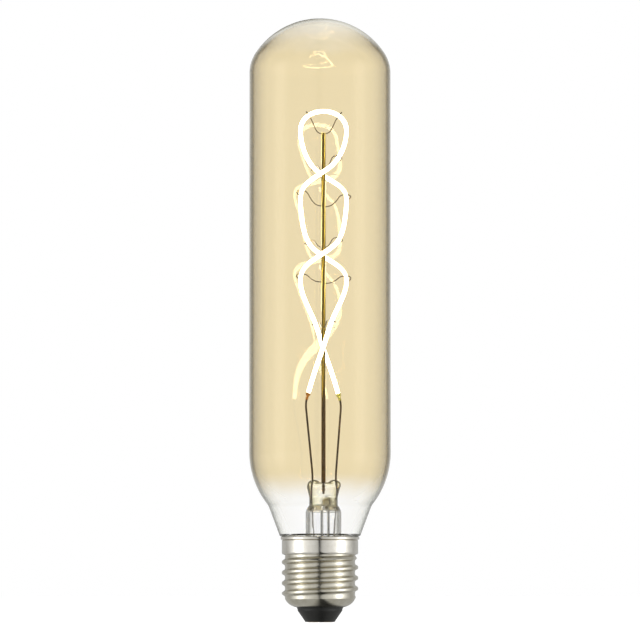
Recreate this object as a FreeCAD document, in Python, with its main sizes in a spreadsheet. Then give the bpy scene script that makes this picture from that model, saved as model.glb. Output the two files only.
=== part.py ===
import FreeCAD, Part
import math
import os

import Sketcher

# A tubular filament lamp with an E27 screw cap, in millimetres.
# The frame: +Z runs up the axis from the cap to the crown, and the origin is on
# the axis, in the face of the centre contact. -Y is the side of the photograph.

DIMENSIONS = [
    # alias, value, meaning
    ("overall_height", 209.5, "contact face to the top of the crown"),
    ("envelope_diameter", 49.0, "outside of the tube"),
    ("glass_wall", 1.0, "wall of the envelope, flare and rim"),
    ("crown_excess", 2.4, "crown's radius over the tube's"),
    ("knuckle_radius", 12.5, "round between dome and tube"),
    ("shoulder_height", 58.8, "where the straight tube ends"),
    ("shoulder_radius", 29.1, "convex round below the tube"),
    ("shoulder_slope", 38.0, "steepest lean of the shoulder, degrees"),
    ("throat_radius", 5.0, "hollow round between shoulder and neck"),
    ("neck_slope", 20.5, "lean of the neck cone, degrees"),
    ("rim_gap", 0.35, "glass above the cap's lip"),
    ("neck_radius", 12.3, "glass neck inside the cap"),
    ("neck_tuck", 0.8, "height of the step from cone to neck"),
    ("neck_length", 4.95, "rim down to the lower end of the neck"),
    ("stem_offset", 1.2, "stem axis beside the lamp axis, along X"),
    ("flare_radius", 6.2, "straight part of the flare tube"),
    ("flare_rise", 5.1, "flare from its rim up to the tube"),
    ("tube_length", 8.2, "flare tube up to where it flattens"),
    ("hollow_rise", 1.4, "hollow above the start of the press"),
    ("press_waist", 4.95, "half width of the press at its waist"),
    ("press_head", 5.8, "half width of the press at its head"),
    ("press_half_depth", 2.7, "half thickness of the press"),
    ("press_shelf", 3.6, "half thickness where tube turns into press"),
    ("press_round", 0.4, "rounding of the press's upper edge"),
    ("shelf_rise", 2.5, "shelf above the foot of the press"),
    ("waist_rise", 5.05, "waist above the foot of the press"),
    ("head_drop", 1.7, "widest part of the head below its top"),
    ("hollow_half_width", 4.75, "hollow's ceiling, half width"),
    ("hollow_half_depth", 3.0, "hollow's ceiling, half thickness"),
    ("press_height", 10.1, "press up to the dip between the two lobes"),
    ("lobe_rise", 1.0, "lobes above the dip"),
    ("lobe_radius", 1.9, "glass that wets each inner lead"),
    ("exhaust_radius", 1.6, "outside of the exhaust tube"),
    ("exhaust_bore", 1.1, "inside radius of the exhaust tube"),
    ("exhaust_offset", 0.6, "exhaust tube beside the stem axis"),
    ("exhaust_gap", 2.0, "sealed tip above the board"),
    ("orifice_radius", 0.9, "pumping hole through the press"),
    ("orifice_rise", 2.0, "pumping hole above the hollow"),
    ("rod_diameter", 1.5, "support rod"),
    ("rod_depth", 4.1, "rod into the press"),
    ("rod_short", 0.7, "rod below the top of the strands"),
    ("inner_lead_diameter", 0.7, "leads above the press"),
    ("seal_diameter", 0.5, "seal wires in the press"),
    ("outer_lead_diameter", 0.5, "leads in the flare"),
    ("left_lead", -3.8, "left lead beside the stem axis"),
    ("right_lead", 4.3, "right lead beside the stem axis"),
    ("weld_depth", 1.1, "butt weld of inner lead and seal wire in the press"),
    ("lead_stub", 2.0, "inner lead that stands straight out of the glass"),
    ("filament_diameter", 1.6, "coated light strip"),
    ("helix_radius", 8.0, "strip's middle about the stem axis"),
    ("strip_foot", 79.2, "height of the strip's two ends"),
    ("strip_clearance", 39.0, "crown down to the top of the strands"),
    ("arch_rise", 6.7, "top of the arch over its feet"),
    ("arch_fullness", 2.6, "2 is an ellipse, more is squarer"),
    ("clip_diameter", 1.7, "end clip of the strip"),
    ("clip_length", 2.6, "end clip of the strip"),
    ("clip_lap", 1.4, "lead that runs on in line with the clip"),
    ("support_diameter", 0.3, "wires that hold the strip"),
    ("hook_gap", 0.15, "between a hook and the strip"),
    ("support_drop", 4.0, "weld on the rod below its hooks"),
    ("cap_height", 29.5, "contact face to the cap's lip"),
    ("shell_wall", 0.3, "sheet of the cap"),
    ("skirt_radius", 13.2, "plain collar of the cap"),
    ("lip_radius", 13.6, "flared lip of the cap"),
    ("lip_height", 1.2, "flared part of the lip"),
    ("collar_height", 6.3, "plain collar and lip above the thread"),
    ("thread_foot", 8.0, "lower end of the thread"),
    ("crest_radius", 13.2, "E27 thread crest"),
    ("root_radius", 12.1, "E27 thread root"),
    ("thread_pitch", 3.629, "seven threads to the inch"),
    ("crest_flat", 1.0, "width of the crest"),
    ("ridge_foot", 2.7, "width of the ridge at the root"),
    ("shell_mouth", 8.4, "radius of the shell's lower opening"),
    ("shell_cone", 2.8, "cone below the thread"),
    ("insulator_depth", 1.8, "insulator up into the shell"),
    ("insulator_foot", 5.15, "radius of the insulator's lower face"),
    ("insulator_bulge", 7.75, "radius of the insulator's swell"),
    ("bulge_height", 3.6, "height of the swell"),
    ("insulator_taper", 6.25, "radius low on the insulator's side"),
    ("taper_height", 1.6, "height of that radius"),
    ("insulator_face", 0.1, "contact face below the insulator"),
    ("contact_radius", 4.4, "brass centre contact"),
    ("contact_wall", 0.8, "thickness of the centre contact"),
    ("contact_hole", 0.8, "eyelet of the contact, radius"),
    ("wire_hole", 1.1, "hole through the insulator, radius"),
    ("cement_drop", 1.1, "cement ring below the top of the lip"),
    ("cement_height", 3.2, "height of the cement ring"),
    ("board_top", 15.4, "height of the board's upper face"),
    ("board_wall", 1.0, "thickness of the board"),
    ("board_gap", 0.25, "board to the cap's thread root"),
    ("rectifier_length", 4.7, "bridge rectifier on the board"),
    ("rectifier_width", 3.9, "bridge rectifier on the board"),
    ("rectifier_height", 1.5, "bridge rectifier on the board"),
    ("rectifier_x", -5.4, "its corner on the board, along X"),
    ("rectifier_y", 3.0, "its corner on the board, along Y"),
    ("regulator_length", 4.9, "current regulator on the board"),
    ("regulator_width", 3.9, "current regulator on the board"),
    ("regulator_height", 1.4, "current regulator on the board"),
    ("regulator_x", -2.0, "its corner on the board, along X"),
    ("regulator_y", -9.0, "its corner on the board, along Y"),
    ("capacitor_radius", 3.15, "can below the board"),
    ("capacitor_length", 8.0, "can below the board"),
    ("capacitor_place", -4.6, "can's middle along X"),
    ("capacitor_gap", 0.3, "can below the board's underside"),
    ("capacitor_pitch", 2.0, "between the can's two leads"),
    ("capacitor_reach", 1.1, "leads stand out of the can's end"),
    ("fuse_radius", 1.2, "fuse resistor's body"),
    ("fuse_lead", 1.4, "bare lead at each end of the body"),
    ("fuse_place", 3.2, "fuse resistor along X"),
    ("fuse_rise", 1.3, "its lower joint above the insulator"),
    ("hookup_diameter", 0.6, "wires of the driver"),
    ("hookup_rise", 1.8, "shell wire above the board"),
    ("hookup_reach", 3.4, "shell wire from the board to the shell"),
    ("hookup_angle", 150.0, "shell wire round the axis, degrees"),
]


class Size(float):
    """A number that remembers how it follows from the sheet."""

    def __new__(cls, value, text=None):
        size = super().__new__(cls, value)
        size.text = text or f"({float(value):.9g})"
        return size

    def join(self, sign, other, value, swap=False):
        other = other if isinstance(other, Size) else Size(other)
        first, last = (other, self) if swap else (self, other)
        return Size(value, f"({first.text} {sign} {last.text})")

    def __add__(self, other):
        return self.join("+", other, float(self) + float(other))

    def __radd__(self, other):
        return self.join("+", other, float(other) + float(self), swap=True)

    def __sub__(self, other):
        return self.join("-", other, float(self) - float(other))

    def __rsub__(self, other):
        return self.join("-", other, float(other) - float(self), swap=True)

    def __mul__(self, other):
        return self.join("*", other, float(self) * float(other))

    def __rmul__(self, other):
        return self.join("*", other, float(other) * float(self), swap=True)

    def __truediv__(self, other):
        return self.join("/", other, float(self) / float(other))

    def __neg__(self):
        return self * -1


def sine(degrees):
    return Size(math.sin(math.radians(degrees)), f"sin({degrees.text})")


def cosine(degrees):
    return Size(math.cos(math.radians(degrees)), f"cos({degrees.text})")


def arc_sine(share):
    return Size(math.degrees(math.asin(share)), f"(asin({share.text}) / (1 deg))")


class Sheet:
    """The driving dimensions: each alias is read as a bound size."""

    def __init__(self, document, rows):
        self.cells = document.addObject("Spreadsheet::Sheet", "Sizes")
        for number, (alias, value, meaning) in enumerate(rows, start=1):
            self.cells.set(f"A{number}", meaning)
            self.cells.set(f"B{number}", str(value))
            self.cells.setAlias(f"B{number}", alias)
        document.recompute()

    def __getattr__(self, alias):
        return Size(self.cells.get(alias), f"Sizes.{alias}")


doc = FreeCAD.newDocument("TubularLamp")
size = Sheet(doc, DIMENSIONS)
TINY = 1e-6
UP = FreeCAD.Vector(0, 0, 1)
SUB_PARTS = []

# Levels that follow from the sizes, from the cap up.
SHELL_END = size.thread_foot - size.shell_cone
INSULATOR_TOP = SHELL_END + size.insulator_depth
BOARD_UNDERSIDE = size.board_top - size.board_wall
THREAD_TOP = size.cap_height - size.collar_height
COLLAR_FOOT = THREAD_TOP + (size.skirt_radius - size.root_radius) / 2
LIP_FOOT = size.cap_height - size.lip_height
RIM = size.cap_height + size.rim_gap
NECK_END = RIM - size.neck_length
FLARE_TOP = NECK_END + size.flare_rise
PRESS_FOOT = FLARE_TOP + size.tube_length
PRESS_FLOOR = PRESS_FOOT + size.hollow_rise
PRESS_TOP = PRESS_FOOT + size.press_height
LOBE_TOP = PRESS_TOP + size.lobe_rise
WELD = PRESS_TOP - size.weld_depth
ROD_FOOT = PRESS_TOP - size.rod_depth
STRIP_TOP = size.overall_height - size.strip_clearance
ROD_TOP = STRIP_TOP - size.rod_short

THREAD_SIDES = 20  # flat facets a turn, shared by the cap and what sits in it


def point(x, y, z):
    return FreeCAD.Vector(float(x), float(y), float(z))


def keep(feature):
    SUB_PARTS.append(feature)
    return feature


# Turned pieces: a closed outline of radius and height, turned about the axis. Round
# stretches are drawn as short chords, which keeps the model light.

def bind(sketch, kind, *where, value):
    row = sketch.addConstraint(Sketcher.Constraint(kind, *where, float(value)))
    if isinstance(value, Size):
        sketch.setExpression(f"Constraints[{row}]", value.text)


def draw(sketch, corners):
    """A closed outline whose corners are bound to the sheet; an end at 0 lies on the axis."""
    sides = range(len(corners))
    for side in sides:
        start, end = corners[side], corners[(side + 1) % len(corners)]
        sketch.addGeometry(Part.LineSegment(point(*start, 0), point(*end, 0)))
    for side in sides:
        following = (side + 1) % len(corners)
        sketch.addConstraint(Sketcher.Constraint("Coincident", side, 2, following, 1))
        for kind, axis, value in (("DistanceX", -2, corners[side][0]), ("DistanceY", -1, corners[side][1])):
            if value == 0:
                sketch.addConstraint(Sketcher.Constraint("PointOnObject", side, 1, axis))
            else:
                bind(sketch, kind, side, 1, value=value)


def bend(centre_x, centre_y, radius, first, last, steps):
    """Corners on a round stretch, as short chords, from the first to the last angle."""
    corners = []
    for number in range(steps + 1):
        angle = first + (last - first) * (number / steps)
        corners.append((centre_x + radius * cosine(angle), centre_y + radius * sine(angle)))
    return corners


def origin_plane(body, role):
    return next(f for f in body.Origin.OriginFeatures if f.Role == role)


def new_sketch(body, role, name):
    sketch = body.newObject("Sketcher::SketchObject", name)
    sketch.AttachmentSupport = [(origin_plane(body, role), "")]
    sketch.MapMode = "FlatFace"
    return sketch


def turned(label, corners, beside=None):
    body = doc.addObject("PartDesign::Body", label)
    sketch = new_sketch(body, "XZ_Plane", f"{label}_outline")
    draw(sketch, corners)
    turn = body.newObject("PartDesign::Revolution", f"{label}_turn")
    turn.Profile = sketch
    turn.ReferenceAxis = (sketch, ["V_Axis"])
    turn.Angle = 360
    body.Tip = turn
    if beside is not None:
        body.setExpression("Placement.Base.x", beside.text)
    return keep(body)


# Wires: a many-sided section swept along short straight runs with mitred joints.

def softened(points, share=0.4, steps=1):
    """The route with each corner rounded by a few points on a smooth bend."""
    route = [points[0]]
    for before, corner, after in zip(points, points[1:], points[2:]):
        reach = share * min((before - corner).Length, (after - corner).Length)
        first = corner + (before - corner).normalize() * reach
        last = corner + (after - corner).normalize() * reach
        for number in range(steps + 1):
            part = number / steps
            near = first + (corner - first) * part
            far = corner + (last - corner) * part
            route.append(near + (far - near) * part)
    return route + [points[-1]]


def section_at(start, direction, radius, sides):
    across = direction.cross(UP if abs(direction.z) < 0.9 else FreeCAD.Vector(1, 0, 0)).normalize()
    beside = direction.cross(across).normalize()
    corners = []
    for number in range(sides):
        angle = 2 * math.pi * number / sides
        corners.append(start + across * (radius * math.cos(angle)) + beside * (radius * math.sin(angle)))
    return Part.makePolygon(corners + corners[:1])


def swept(route, radius, sides):
    """A closed wire of the given radius along the points of a route."""
    direction = (route[1] - route[0]).normalize()
    mitred = 1
    section = section_at(route[0], direction, radius, sides)
    return Part.makePolygon(route).makePipeShell([section], True, False, mitred)


# Moulded pieces: rings of corners joined by flat facets.

def facets(rings):
    """Triangles between each ring of corners and the next."""
    faces = []
    for near, far in zip(rings, rings[1:]):
        for number in range(len(near)):
            following = (number + 1) % len(near)
            a, b, c, d = near[number], near[following], far[following], far[number]
            for first, second, third in ((a, b, c), (a, c, d)):
                if (second - first).cross(third - first).Length > TINY:
                    faces.append(Part.Face(Part.makePolygon([first, second, third, first])))
    return faces


def lofted(rings):
    ends = [Part.Face(Part.makePolygon(ring + ring[:1])) for ring in (rings[0], rings[-1])]
    return Part.Solid(Part.Shell(facets(rings) + ends))


def faceted(outline, sides=THREAD_SIDES):
    """An outline of radius and height turned about the axis in flat steps."""
    columns = []
    for number in range(sides + 1):
        angle = 2 * math.pi * number / sides
        columns.append([point(r * math.cos(angle), r * math.sin(angle), z) for r, z in outline])
    return Part.Solid(Part.Shell(facets(columns)))


def solid(label, shape):
    feature = doc.addObject("Part::Feature", label)
    feature.Shape = shape
    return keep(feature)


# The glass envelope: crown, tube, shoulder, cone and neck, blown as one piece.

def envelope_outline(inset, crown_steps, knuckle_steps, shoulder_steps):
    """Corners from the crown down to the neck's end, moved inwards by inset."""
    half = size.envelope_diameter / 2
    crown_radius = half + size.crown_excess
    crown_centre = size.overall_height - crown_radius
    knuckle_centre = half - size.knuckle_radius
    between = crown_radius - size.knuckle_radius
    crown_lean = arc_sine(knuckle_centre / between)
    meeting = 90 - crown_lean
    knuckle_height = crown_centre + between * cosine(crown_lean)
    steep, gentle = size.shoulder_slope, size.neck_slope
    shoulder_centre = half - size.shoulder_radius
    throat_reach = size.shoulder_radius + size.throat_radius
    throat_centre = shoulder_centre + throat_reach * cosine(steep)
    throat_height = size.shoulder_height - throat_reach * sine(steep)
    throat = size.throat_radius + inset
    crown = bend(0, crown_centre, crown_radius - inset, Size(90), meeting, crown_steps)
    knuckle = bend(knuckle_centre, knuckle_height, size.knuckle_radius - inset,
                   meeting, Size(0), knuckle_steps)
    shoulder = bend(shoulder_centre, size.shoulder_height, size.shoulder_radius - inset,
                    Size(0), -steep, shoulder_steps)
    hollow = bend(throat_centre, throat_height, throat, 180 - steep, 180 - gentle, 1)
    cone_radius, cone_height = hollow[-1]
    lean = sine(gentle) / cosine(gentle)
    corners = [(0, size.overall_height - inset)]
    corners += crown[1:] + knuckle[1:] + shoulder + hollow[1:]
    corners += [
        (cone_radius - (cone_height - RIM) * lean, RIM),
        (size.neck_radius - inset, RIM - size.neck_tuck),
        (size.neck_radius - inset, NECK_END),
    ]
    return corners


def make_envelope():
    outer = envelope_outline(Size(0), 3, 3, 3)
    inner = envelope_outline(size.glass_wall, 2, 2, 2)
    return turned("glass_envelope", outer + inner[::-1])


# The stem: flare, tube and flattened press, with the hollow inside.

STEM_SIDES = 16
FLARE = [
    # share of the way up, of the closing-in and of the move to the stem's own axis
    (0.0, 0.0, 0.0), (0.12, 0.42, 0.3), (0.3, 0.7, 0.6), (0.6, 0.9, 0.9), (1.0, 1.0, 1.0),
]


def oval(half_width, half_depth, height, beside):
    """Corners round an oval across the axis; beside moves it along X."""
    corners = []
    for number in range(STEM_SIDES):
        angle = 2 * math.pi * number / STEM_SIDES
        corners.append(point(beside + half_width * math.cos(angle), half_depth * math.sin(angle), height))
    return corners


def flare_sections(inset, low):
    """The flare from its rim up to where it is a tube, moved inwards by inset."""
    rim = size.neck_radius - size.glass_wall
    sections = []
    for climb, closing, shift in FLARE:
        radius = rim + (size.flare_radius - rim) * closing - inset
        height = low + (FLARE_TOP - low) * climb
        sections.append(oval(radius, radius, height, size.stem_offset * shift))
    return sections


def press_sections():
    beside, foot, top = size.stem_offset, PRESS_FOOT, PRESS_TOP
    edge = size.press_round
    return [
        oval(size.flare_radius, size.flare_radius, foot, beside),
        oval(size.press_waist, size.press_shelf, foot + size.shelf_rise, beside),
        oval(size.press_waist, size.press_half_depth, foot + size.waist_rise, beside),
        oval(size.press_head, size.press_half_depth, top - size.head_drop, beside),
        oval(size.press_head - edge, size.press_half_depth - edge, top, beside),
    ]


def hollow_sections():
    """The hollow's upper end, in the tube and under the press."""
    inner = size.flare_radius - size.glass_wall
    return [
        oval(inner, inner, PRESS_FOOT, size.stem_offset),
        oval(size.hollow_half_width, size.hollow_half_depth, PRESS_FLOOR, size.stem_offset),
    ]


def lead_place(side):
    return size.stem_offset + (size.left_lead if side == "left" else size.right_lead)


def make_stem():
    wall, low = size.glass_wall, NECK_END
    rim = faceted([(0, low - wall), (size.neck_radius, low - wall), (size.neck_radius, low), (0, low)], 48)
    glass = rim.fuse(lofted(flare_sections(0, low) + press_sections()))
    lobe_foot = PRESS_TOP - size.lobe_rise
    for side in ("left", "right"):
        lobe = faceted([
            (0, lobe_foot), (size.lobe_radius, lobe_foot),
            (size.lobe_radius / 2, LOBE_TOP), (0, LOBE_TOP),
        ], sides=12)
        lobe.translate(point(lead_place(side), 0, 0))
        glass = glass.fuse(lobe)
    glass = glass.cut(lofted(flare_sections(wall, low - wall) + hollow_sections()))
    channel = size.stem_offset + size.exhaust_offset
    turn = point(channel, 0, PRESS_FLOOR + size.orifice_rise)
    rise = swept([point(channel, 0, PRESS_FLOOR), turn + UP * size.orifice_radius],
                 size.orifice_radius, sides=8)
    way_out = swept([turn, turn - point(0, 2 * size.flare_radius, 0)], size.orifice_radius, sides=8)
    glass = glass.cut(rise.fuse(way_out))
    glass = glass.cut(Part.makeCylinder(size.rod_diameter / 2, ROD_TOP - ROD_FOOT,
                                        point(size.stem_offset, 0, ROD_FOOT)))
    for side, start in (("left", FRONT), ("right", BACK)):
        glass = glass.cut(seal_wire_shape(side)).cut(inner_lead_shape(side, start))
    return solid("stem_glass", glass)


def make_exhaust_tube():
    """A tube melted shut at its lower tip."""
    outer, bore, tip = size.exhaust_radius, size.exhaust_bore, size.board_top + size.exhaust_gap
    shape = faceted([
        (0, tip), (outer / 2, tip), (outer, tip + outer), (outer, PRESS_FLOOR),
        (bore, PRESS_FLOOR), (bore, tip + outer), (0, tip + outer - bore),
    ], sides=16)
    shape.translate(point(size.stem_offset + size.exhaust_offset, 0, 0))
    return solid("exhaust_tube", shape)


def make_support_rod():
    rod = doc.addObject("Part::Cylinder", "support_rod")
    rod.setExpression("Radius", (size.rod_diameter / 2).text)
    rod.setExpression("Height", (ROD_TOP - ROD_FOOT).text)
    rod.setExpression("Placement.Base.x", size.stem_offset.text)
    rod.setExpression("Placement.Base.z", ROD_FOOT.text)
    return keep(rod)


# The light strip: two strands wound right-handed round the rod, joined by an arch.

STRAND = [
    # share of the way up the strand, and how far the front strand has turned, in degrees
    (1.0, 0), (0.866, -64), (0.748, -172), (0.577, -229.5),
    (0.439, -352), (0.273, -428), (0.173, -450), (0.0, -490),
]


def strand_turn(height):
    """The turn at a height, eased through the pairs above with no overshoot."""
    low = size.strip_foot
    heights = [low + (STRIP_TOP - low) * share for share, turn in STRAND]
    turns = [turn for share, turn in STRAND]
    steps = [b - a for a, b in zip(heights, heights[1:])]
    rates = [(b - a) / step for a, b, step in zip(turns, turns[1:], steps)]
    slopes = [rates[0]]
    for one, other, left, right in zip(rates, rates[1:], steps, steps[1:]):
        near, far = 2 * right + left, right + 2 * left
        slopes.append((near + far) / (near / one + far / other))
    slopes.append(rates[-1])
    span = next((n for n, top in enumerate(heights[1:]) if height >= top - TINY), len(steps) - 1)
    part = (height - heights[span]) / steps[span]
    return ((2 * part ** 3 - 3 * part ** 2 + 1) * turns[span]
            + (part ** 3 - 2 * part ** 2 + part) * steps[span] * slopes[span]
            + (3 * part ** 2 - 2 * part ** 3) * turns[span + 1]
            + (part ** 3 - part ** 2) * steps[span] * slopes[span + 1])


def strand_point(height, start):
    """A point on the strand that starts at the given angle, in degrees."""
    angle = math.radians(strand_turn(height) + start)
    return point(size.stem_offset + size.helix_radius * math.cos(angle),
                 size.helix_radius * math.sin(angle), height)


FRONT, BACK = 0, 180
STRAND_STEPS = 25
ARCH_STEPS = 10


def arch_point(angle):
    """A point on the arch: the back strand's top at 0, the front strand's at pi."""
    power = 2 / size.arch_fullness
    across = math.cos(angle)
    x = size.helix_radius * math.copysign(abs(across) ** power, across)
    return point(size.stem_offset - x, 0, STRIP_TOP + size.arch_rise * math.sin(angle) ** power)


def strip_point(height, start):
    """A point on the strip, on the arch above the strands' top."""
    top = STRIP_TOP
    if height <= top:
        return strand_point(height, start)
    share = (height - top) / size.arch_rise
    angle = math.asin(share ** (size.arch_fullness / 2))
    return arch_point(angle if start == BACK else math.pi - angle)


def strip_direction(height, start):
    """Unit direction down the strip."""
    step = 0.05
    ahead, behind = max(height - step, size.strip_foot), height + step
    return (strip_point(ahead, start) - strip_point(behind, start)).normalize()


def filament_route():
    """Up the back strand, over the arch and down the front strand."""
    top, low = float(STRIP_TOP), float(size.strip_foot)
    heights = [top + (low - top) * number / STRAND_STEPS for number in range(STRAND_STEPS + 1)]
    up = [strand_point(height, BACK) for height in reversed(heights)]
    arch = [arch_point(math.pi * number / ARCH_STEPS) for number in range(1, ARCH_STEPS)]
    return up + arch + [strand_point(height, FRONT) for height in heights]


def strip_end(start):
    """Where a strand ends, and its direction there."""
    low = size.strip_foot
    return strip_point(low, start), strip_direction(low, start)


def make_filament():
    return solid("led_filament", swept(filament_route(), size.filament_diameter / 2, sides=8))


def make_clip(side, start):
    end, down = strip_end(start)
    shape = swept([end, end + down * size.clip_length], size.clip_diameter / 2, sides=10)
    return solid(f"filament_clip_{side}", shape)


def inner_lead_shape(side, start):
    """From the butt weld in the press up to the strip's clip."""
    end, down = strip_end(start)
    x = lead_place(side)
    tip = end + down * size.clip_length
    points = [
        point(x, 0, WELD),
        point(x, 0, LOBE_TOP + size.lead_stub),
        tip + down * size.clip_lap,
        tip,
    ]
    return swept(softened(points, steps=2), size.inner_lead_diameter / 2, sides=10)


def seal_wire_shape(side):
    x = lead_place(side)
    return swept([point(x, 0, PRESS_FLOOR), point(x, 0, WELD)],
                 size.seal_diameter / 2, sides=8)


WANDER = {"left": [0.0, 0.6, -0.3, 0.5], "right": [-0.3, -0.8, 0.1, -0.4]}


def make_outer_lead(side):
    """A slack lead from the press down to the board; its middle points wander along X."""
    x = lead_place(side)
    top, low = PRESS_FLOOR, size.board_top
    points = [point(x, 0, top)]
    for number, shift in enumerate(WANDER[side], start=1):
        share = number / (len(WANDER[side]) + 1)
        points.append(point(x + shift, 0, top + (low - top) * share))
    points.append(point(points[-1].x, 0, low))
    return solid(f"outer_lead_{side}", swept(softened(points), size.outer_lead_diameter / 2, sides=8))


# The support wires: welded to the rod, each hooked round one strand.

SUPPORTS = [
    # node name, which strand, and how far up the strand or the arch its hook is
    ("crown_left", BACK, "arch", 0.79), ("crown_right", FRONT, "arch", 0.76),
    ("upper_left", BACK, "strand", 0.863), ("upper_right", FRONT, "strand", 0.889),
    ("second_left", FRONT, "strand", 0.760), ("second_right", BACK, "strand", 0.747),
    ("middle_left", FRONT, "strand", 0.578), ("middle_right", BACK, "strand", 0.578),
    ("fourth_left", BACK, "strand", 0.443), ("fourth_right", FRONT, "strand", 0.436),
    ("lower_left", BACK, "strand", 0.269), ("lower_right", FRONT, "strand", 0.269),
]


SPRING = 0.35  # share of the way out at which a wire turns up to its hook


def make_support_wire(name, start, stretch, share):
    if stretch == "arch":
        height = STRIP_TOP + size.arch_rise * share
    else:
        height = size.strip_foot + (STRIP_TOP - size.strip_foot) * share
    middle, along = strip_point(height, start), strip_direction(height, start)
    radial = FreeCAD.Vector(middle.x - size.stem_offset, middle.y, 0)
    out, spring = radial.normalize(), radial.Length * SPRING
    outward = (out - along * out.dot(along)).normalize()
    aside = along.cross(outward).normalize()
    if aside.z < 0:
        aside = aside * -1
    reach = (size.filament_diameter + size.support_diameter) / 2 + size.hook_gap
    weld = min(height - size.support_drop, ROD_TOP - size.support_diameter)
    foot = point(size.stem_offset, 0, weld) + out * (size.rod_diameter / 2)
    points = [
        foot,
        foot + out * spring,
        middle + aside * reach - outward * (2 * reach),
        middle + aside * reach + outward * reach,
        middle - aside * reach + outward * reach,
        middle - aside * reach - outward * (reach / 3),
    ]
    return solid(f"support_wire_{name}", swept(softened(points), size.support_diameter / 2, sides=6))


# The cap: a drawn sheet shell with a rolled E27 thread.

def thread_core(inset):
    """The solid screw inside the thread's outer face, moved inwards by inset.

    Each turn is a run of flat facets. The ridge rises from the root over the first
    half turn and falls back to it over the last, as a rolled thread does.
    """
    pitch, low, top = size.thread_pitch, size.thread_foot, THREAD_TOP
    root, crest = size.root_radius - inset, size.crest_radius - inset
    flat, foot = (size.crest_flat - inset) / 2, (size.ridge_foot - inset) / 2
    wave = [(root, -foot), (crest, -flat), (crest, flat), (root, foot)]

    def corner(column, row):
        radius, shift = wave[row % len(wave)]
        turns = column / THREAD_SIDES + row // len(wave)
        height = min(max(low + pitch * turns + shift, low), top)
        fade = min(1, (height - low) / (pitch / 2), (top - height) / (pitch / 2))
        radius = root + (radius - root) * fade
        angle = 2 * math.pi * column / THREAD_SIDES
        return point(radius * math.cos(angle), radius * math.sin(angle), height)

    rows = range(-2 * len(wave), (math.ceil((top - low) / pitch) + 1) * len(wave) + 1)
    columns = []
    for column in range(THREAD_SIDES + 1):
        wall = [corner(column, row) for row in rows]
        columns.append([point(0, 0, low)] + wall + [point(0, 0, top)])
    return Part.Solid(Part.Shell(facets(columns)))


def cap_body(inset):
    """The cap as a solid, moved inwards by inset."""
    skirt = size.skirt_radius - inset
    root = size.root_radius - inset
    body = thread_core(inset)
    body = body.fuse(faceted([
        (0, SHELL_END), (size.shell_mouth - inset, SHELL_END),
        (root, size.thread_foot), (0, size.thread_foot),
    ]))
    body = body.fuse(faceted([
        (0, THREAD_TOP), (root, THREAD_TOP), (skirt, COLLAR_FOOT), (0, COLLAR_FOOT),
    ]))
    body = body.fuse(Part.makeCylinder(skirt, LIP_FOOT - COLLAR_FOOT, point(0, 0, COLLAR_FOOT)))
    return body.fuse(faceted([
        (0, LIP_FOOT), (skirt, LIP_FOOT), (size.lip_radius - inset, size.cap_height),
        (0, size.cap_height),
    ], 48))


def make_cap_shell():
    return solid("cap_shell", cap_body(0).cut(cap_body(size.shell_wall)))


def cone_inside(height):
    """Radius of the shell's inner cone at a height."""
    mouth = size.shell_mouth - size.shell_wall
    wide = size.root_radius - size.shell_wall
    return mouth + (wide - mouth) * (height - SHELL_END) / (size.thread_foot - SHELL_END)


def make_insulator():
    face = size.insulator_face
    return solid("cap_insulator", faceted([
        (size.wire_hole, size.contact_wall), (size.contact_radius, size.contact_wall),
        (size.contact_radius, face), (size.insulator_foot, face),
        (size.insulator_taper, size.taper_height), (size.insulator_bulge, size.bulge_height),
        (size.shell_mouth - size.shell_wall, SHELL_END),
        (cone_inside(INSULATOR_TOP), INSULATOR_TOP),
        (size.wire_hole, INSULATOR_TOP),
    ]))


def make_contact():
    round_edge = size.contact_wall / 4
    return solid("centre_contact", faceted([
        (size.contact_hole, 0), (size.contact_radius - round_edge, 0),
        (size.contact_radius, round_edge), (size.contact_radius, size.contact_wall),
        (size.contact_hole, size.contact_wall),
    ]))


def make_contact_solder():
    hole, wall = size.contact_hole, size.contact_wall
    return solid("contact_solder", faceted([(0, 0), (hole, 0), (hole, wall), (0, wall)]))


def make_cement():
    bore = size.neck_radius / math.cos(math.pi / THREAD_SIDES)
    collar = size.skirt_radius - size.shell_wall
    top = size.cap_height - size.cement_drop
    low = top - size.cement_height
    return solid("cap_cement", faceted([(bore, low), (collar, low), (collar, top), (bore, top)]))


# The driver in the cap: a round board with its parts above and below.

def make_board():
    body = doc.addObject("PartDesign::Body", "driver_board")
    sketch = new_sketch(body, "XY_Plane", "driver_board_outline")
    radius = size.root_radius - size.shell_wall - size.board_gap
    sketch.addGeometry(Part.Circle(point(0, 0, 0), UP, float(radius)))
    sketch.addConstraint(Sketcher.Constraint("Coincident", 0, 3, -1, 1))
    bind(sketch, "Radius", 0, value=radius)
    pad = body.newObject("PartDesign::Pad", "driver_board_pad")
    pad.Profile = sketch
    pad.setExpression("Length", size.board_wall.text)
    body.Tip = pad
    body.setExpression("Placement.Base.z", (size.board_top - size.board_wall).text)
    return keep(body)


def make_chip(label, kind):
    """A moulded part on the board's upper face."""
    chip = doc.addObject("Part::Box", label)
    for side in ("Length", "Width", "Height"):
        chip.setExpression(side, getattr(size, f"{kind}_{side.lower()}").text)
    chip.setExpression("Placement.Base.x", getattr(size, f"{kind}_x").text)
    chip.setExpression("Placement.Base.y", getattr(size, f"{kind}_y").text)
    chip.setExpression("Placement.Base.z", size.board_top.text)
    return keep(chip)


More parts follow.
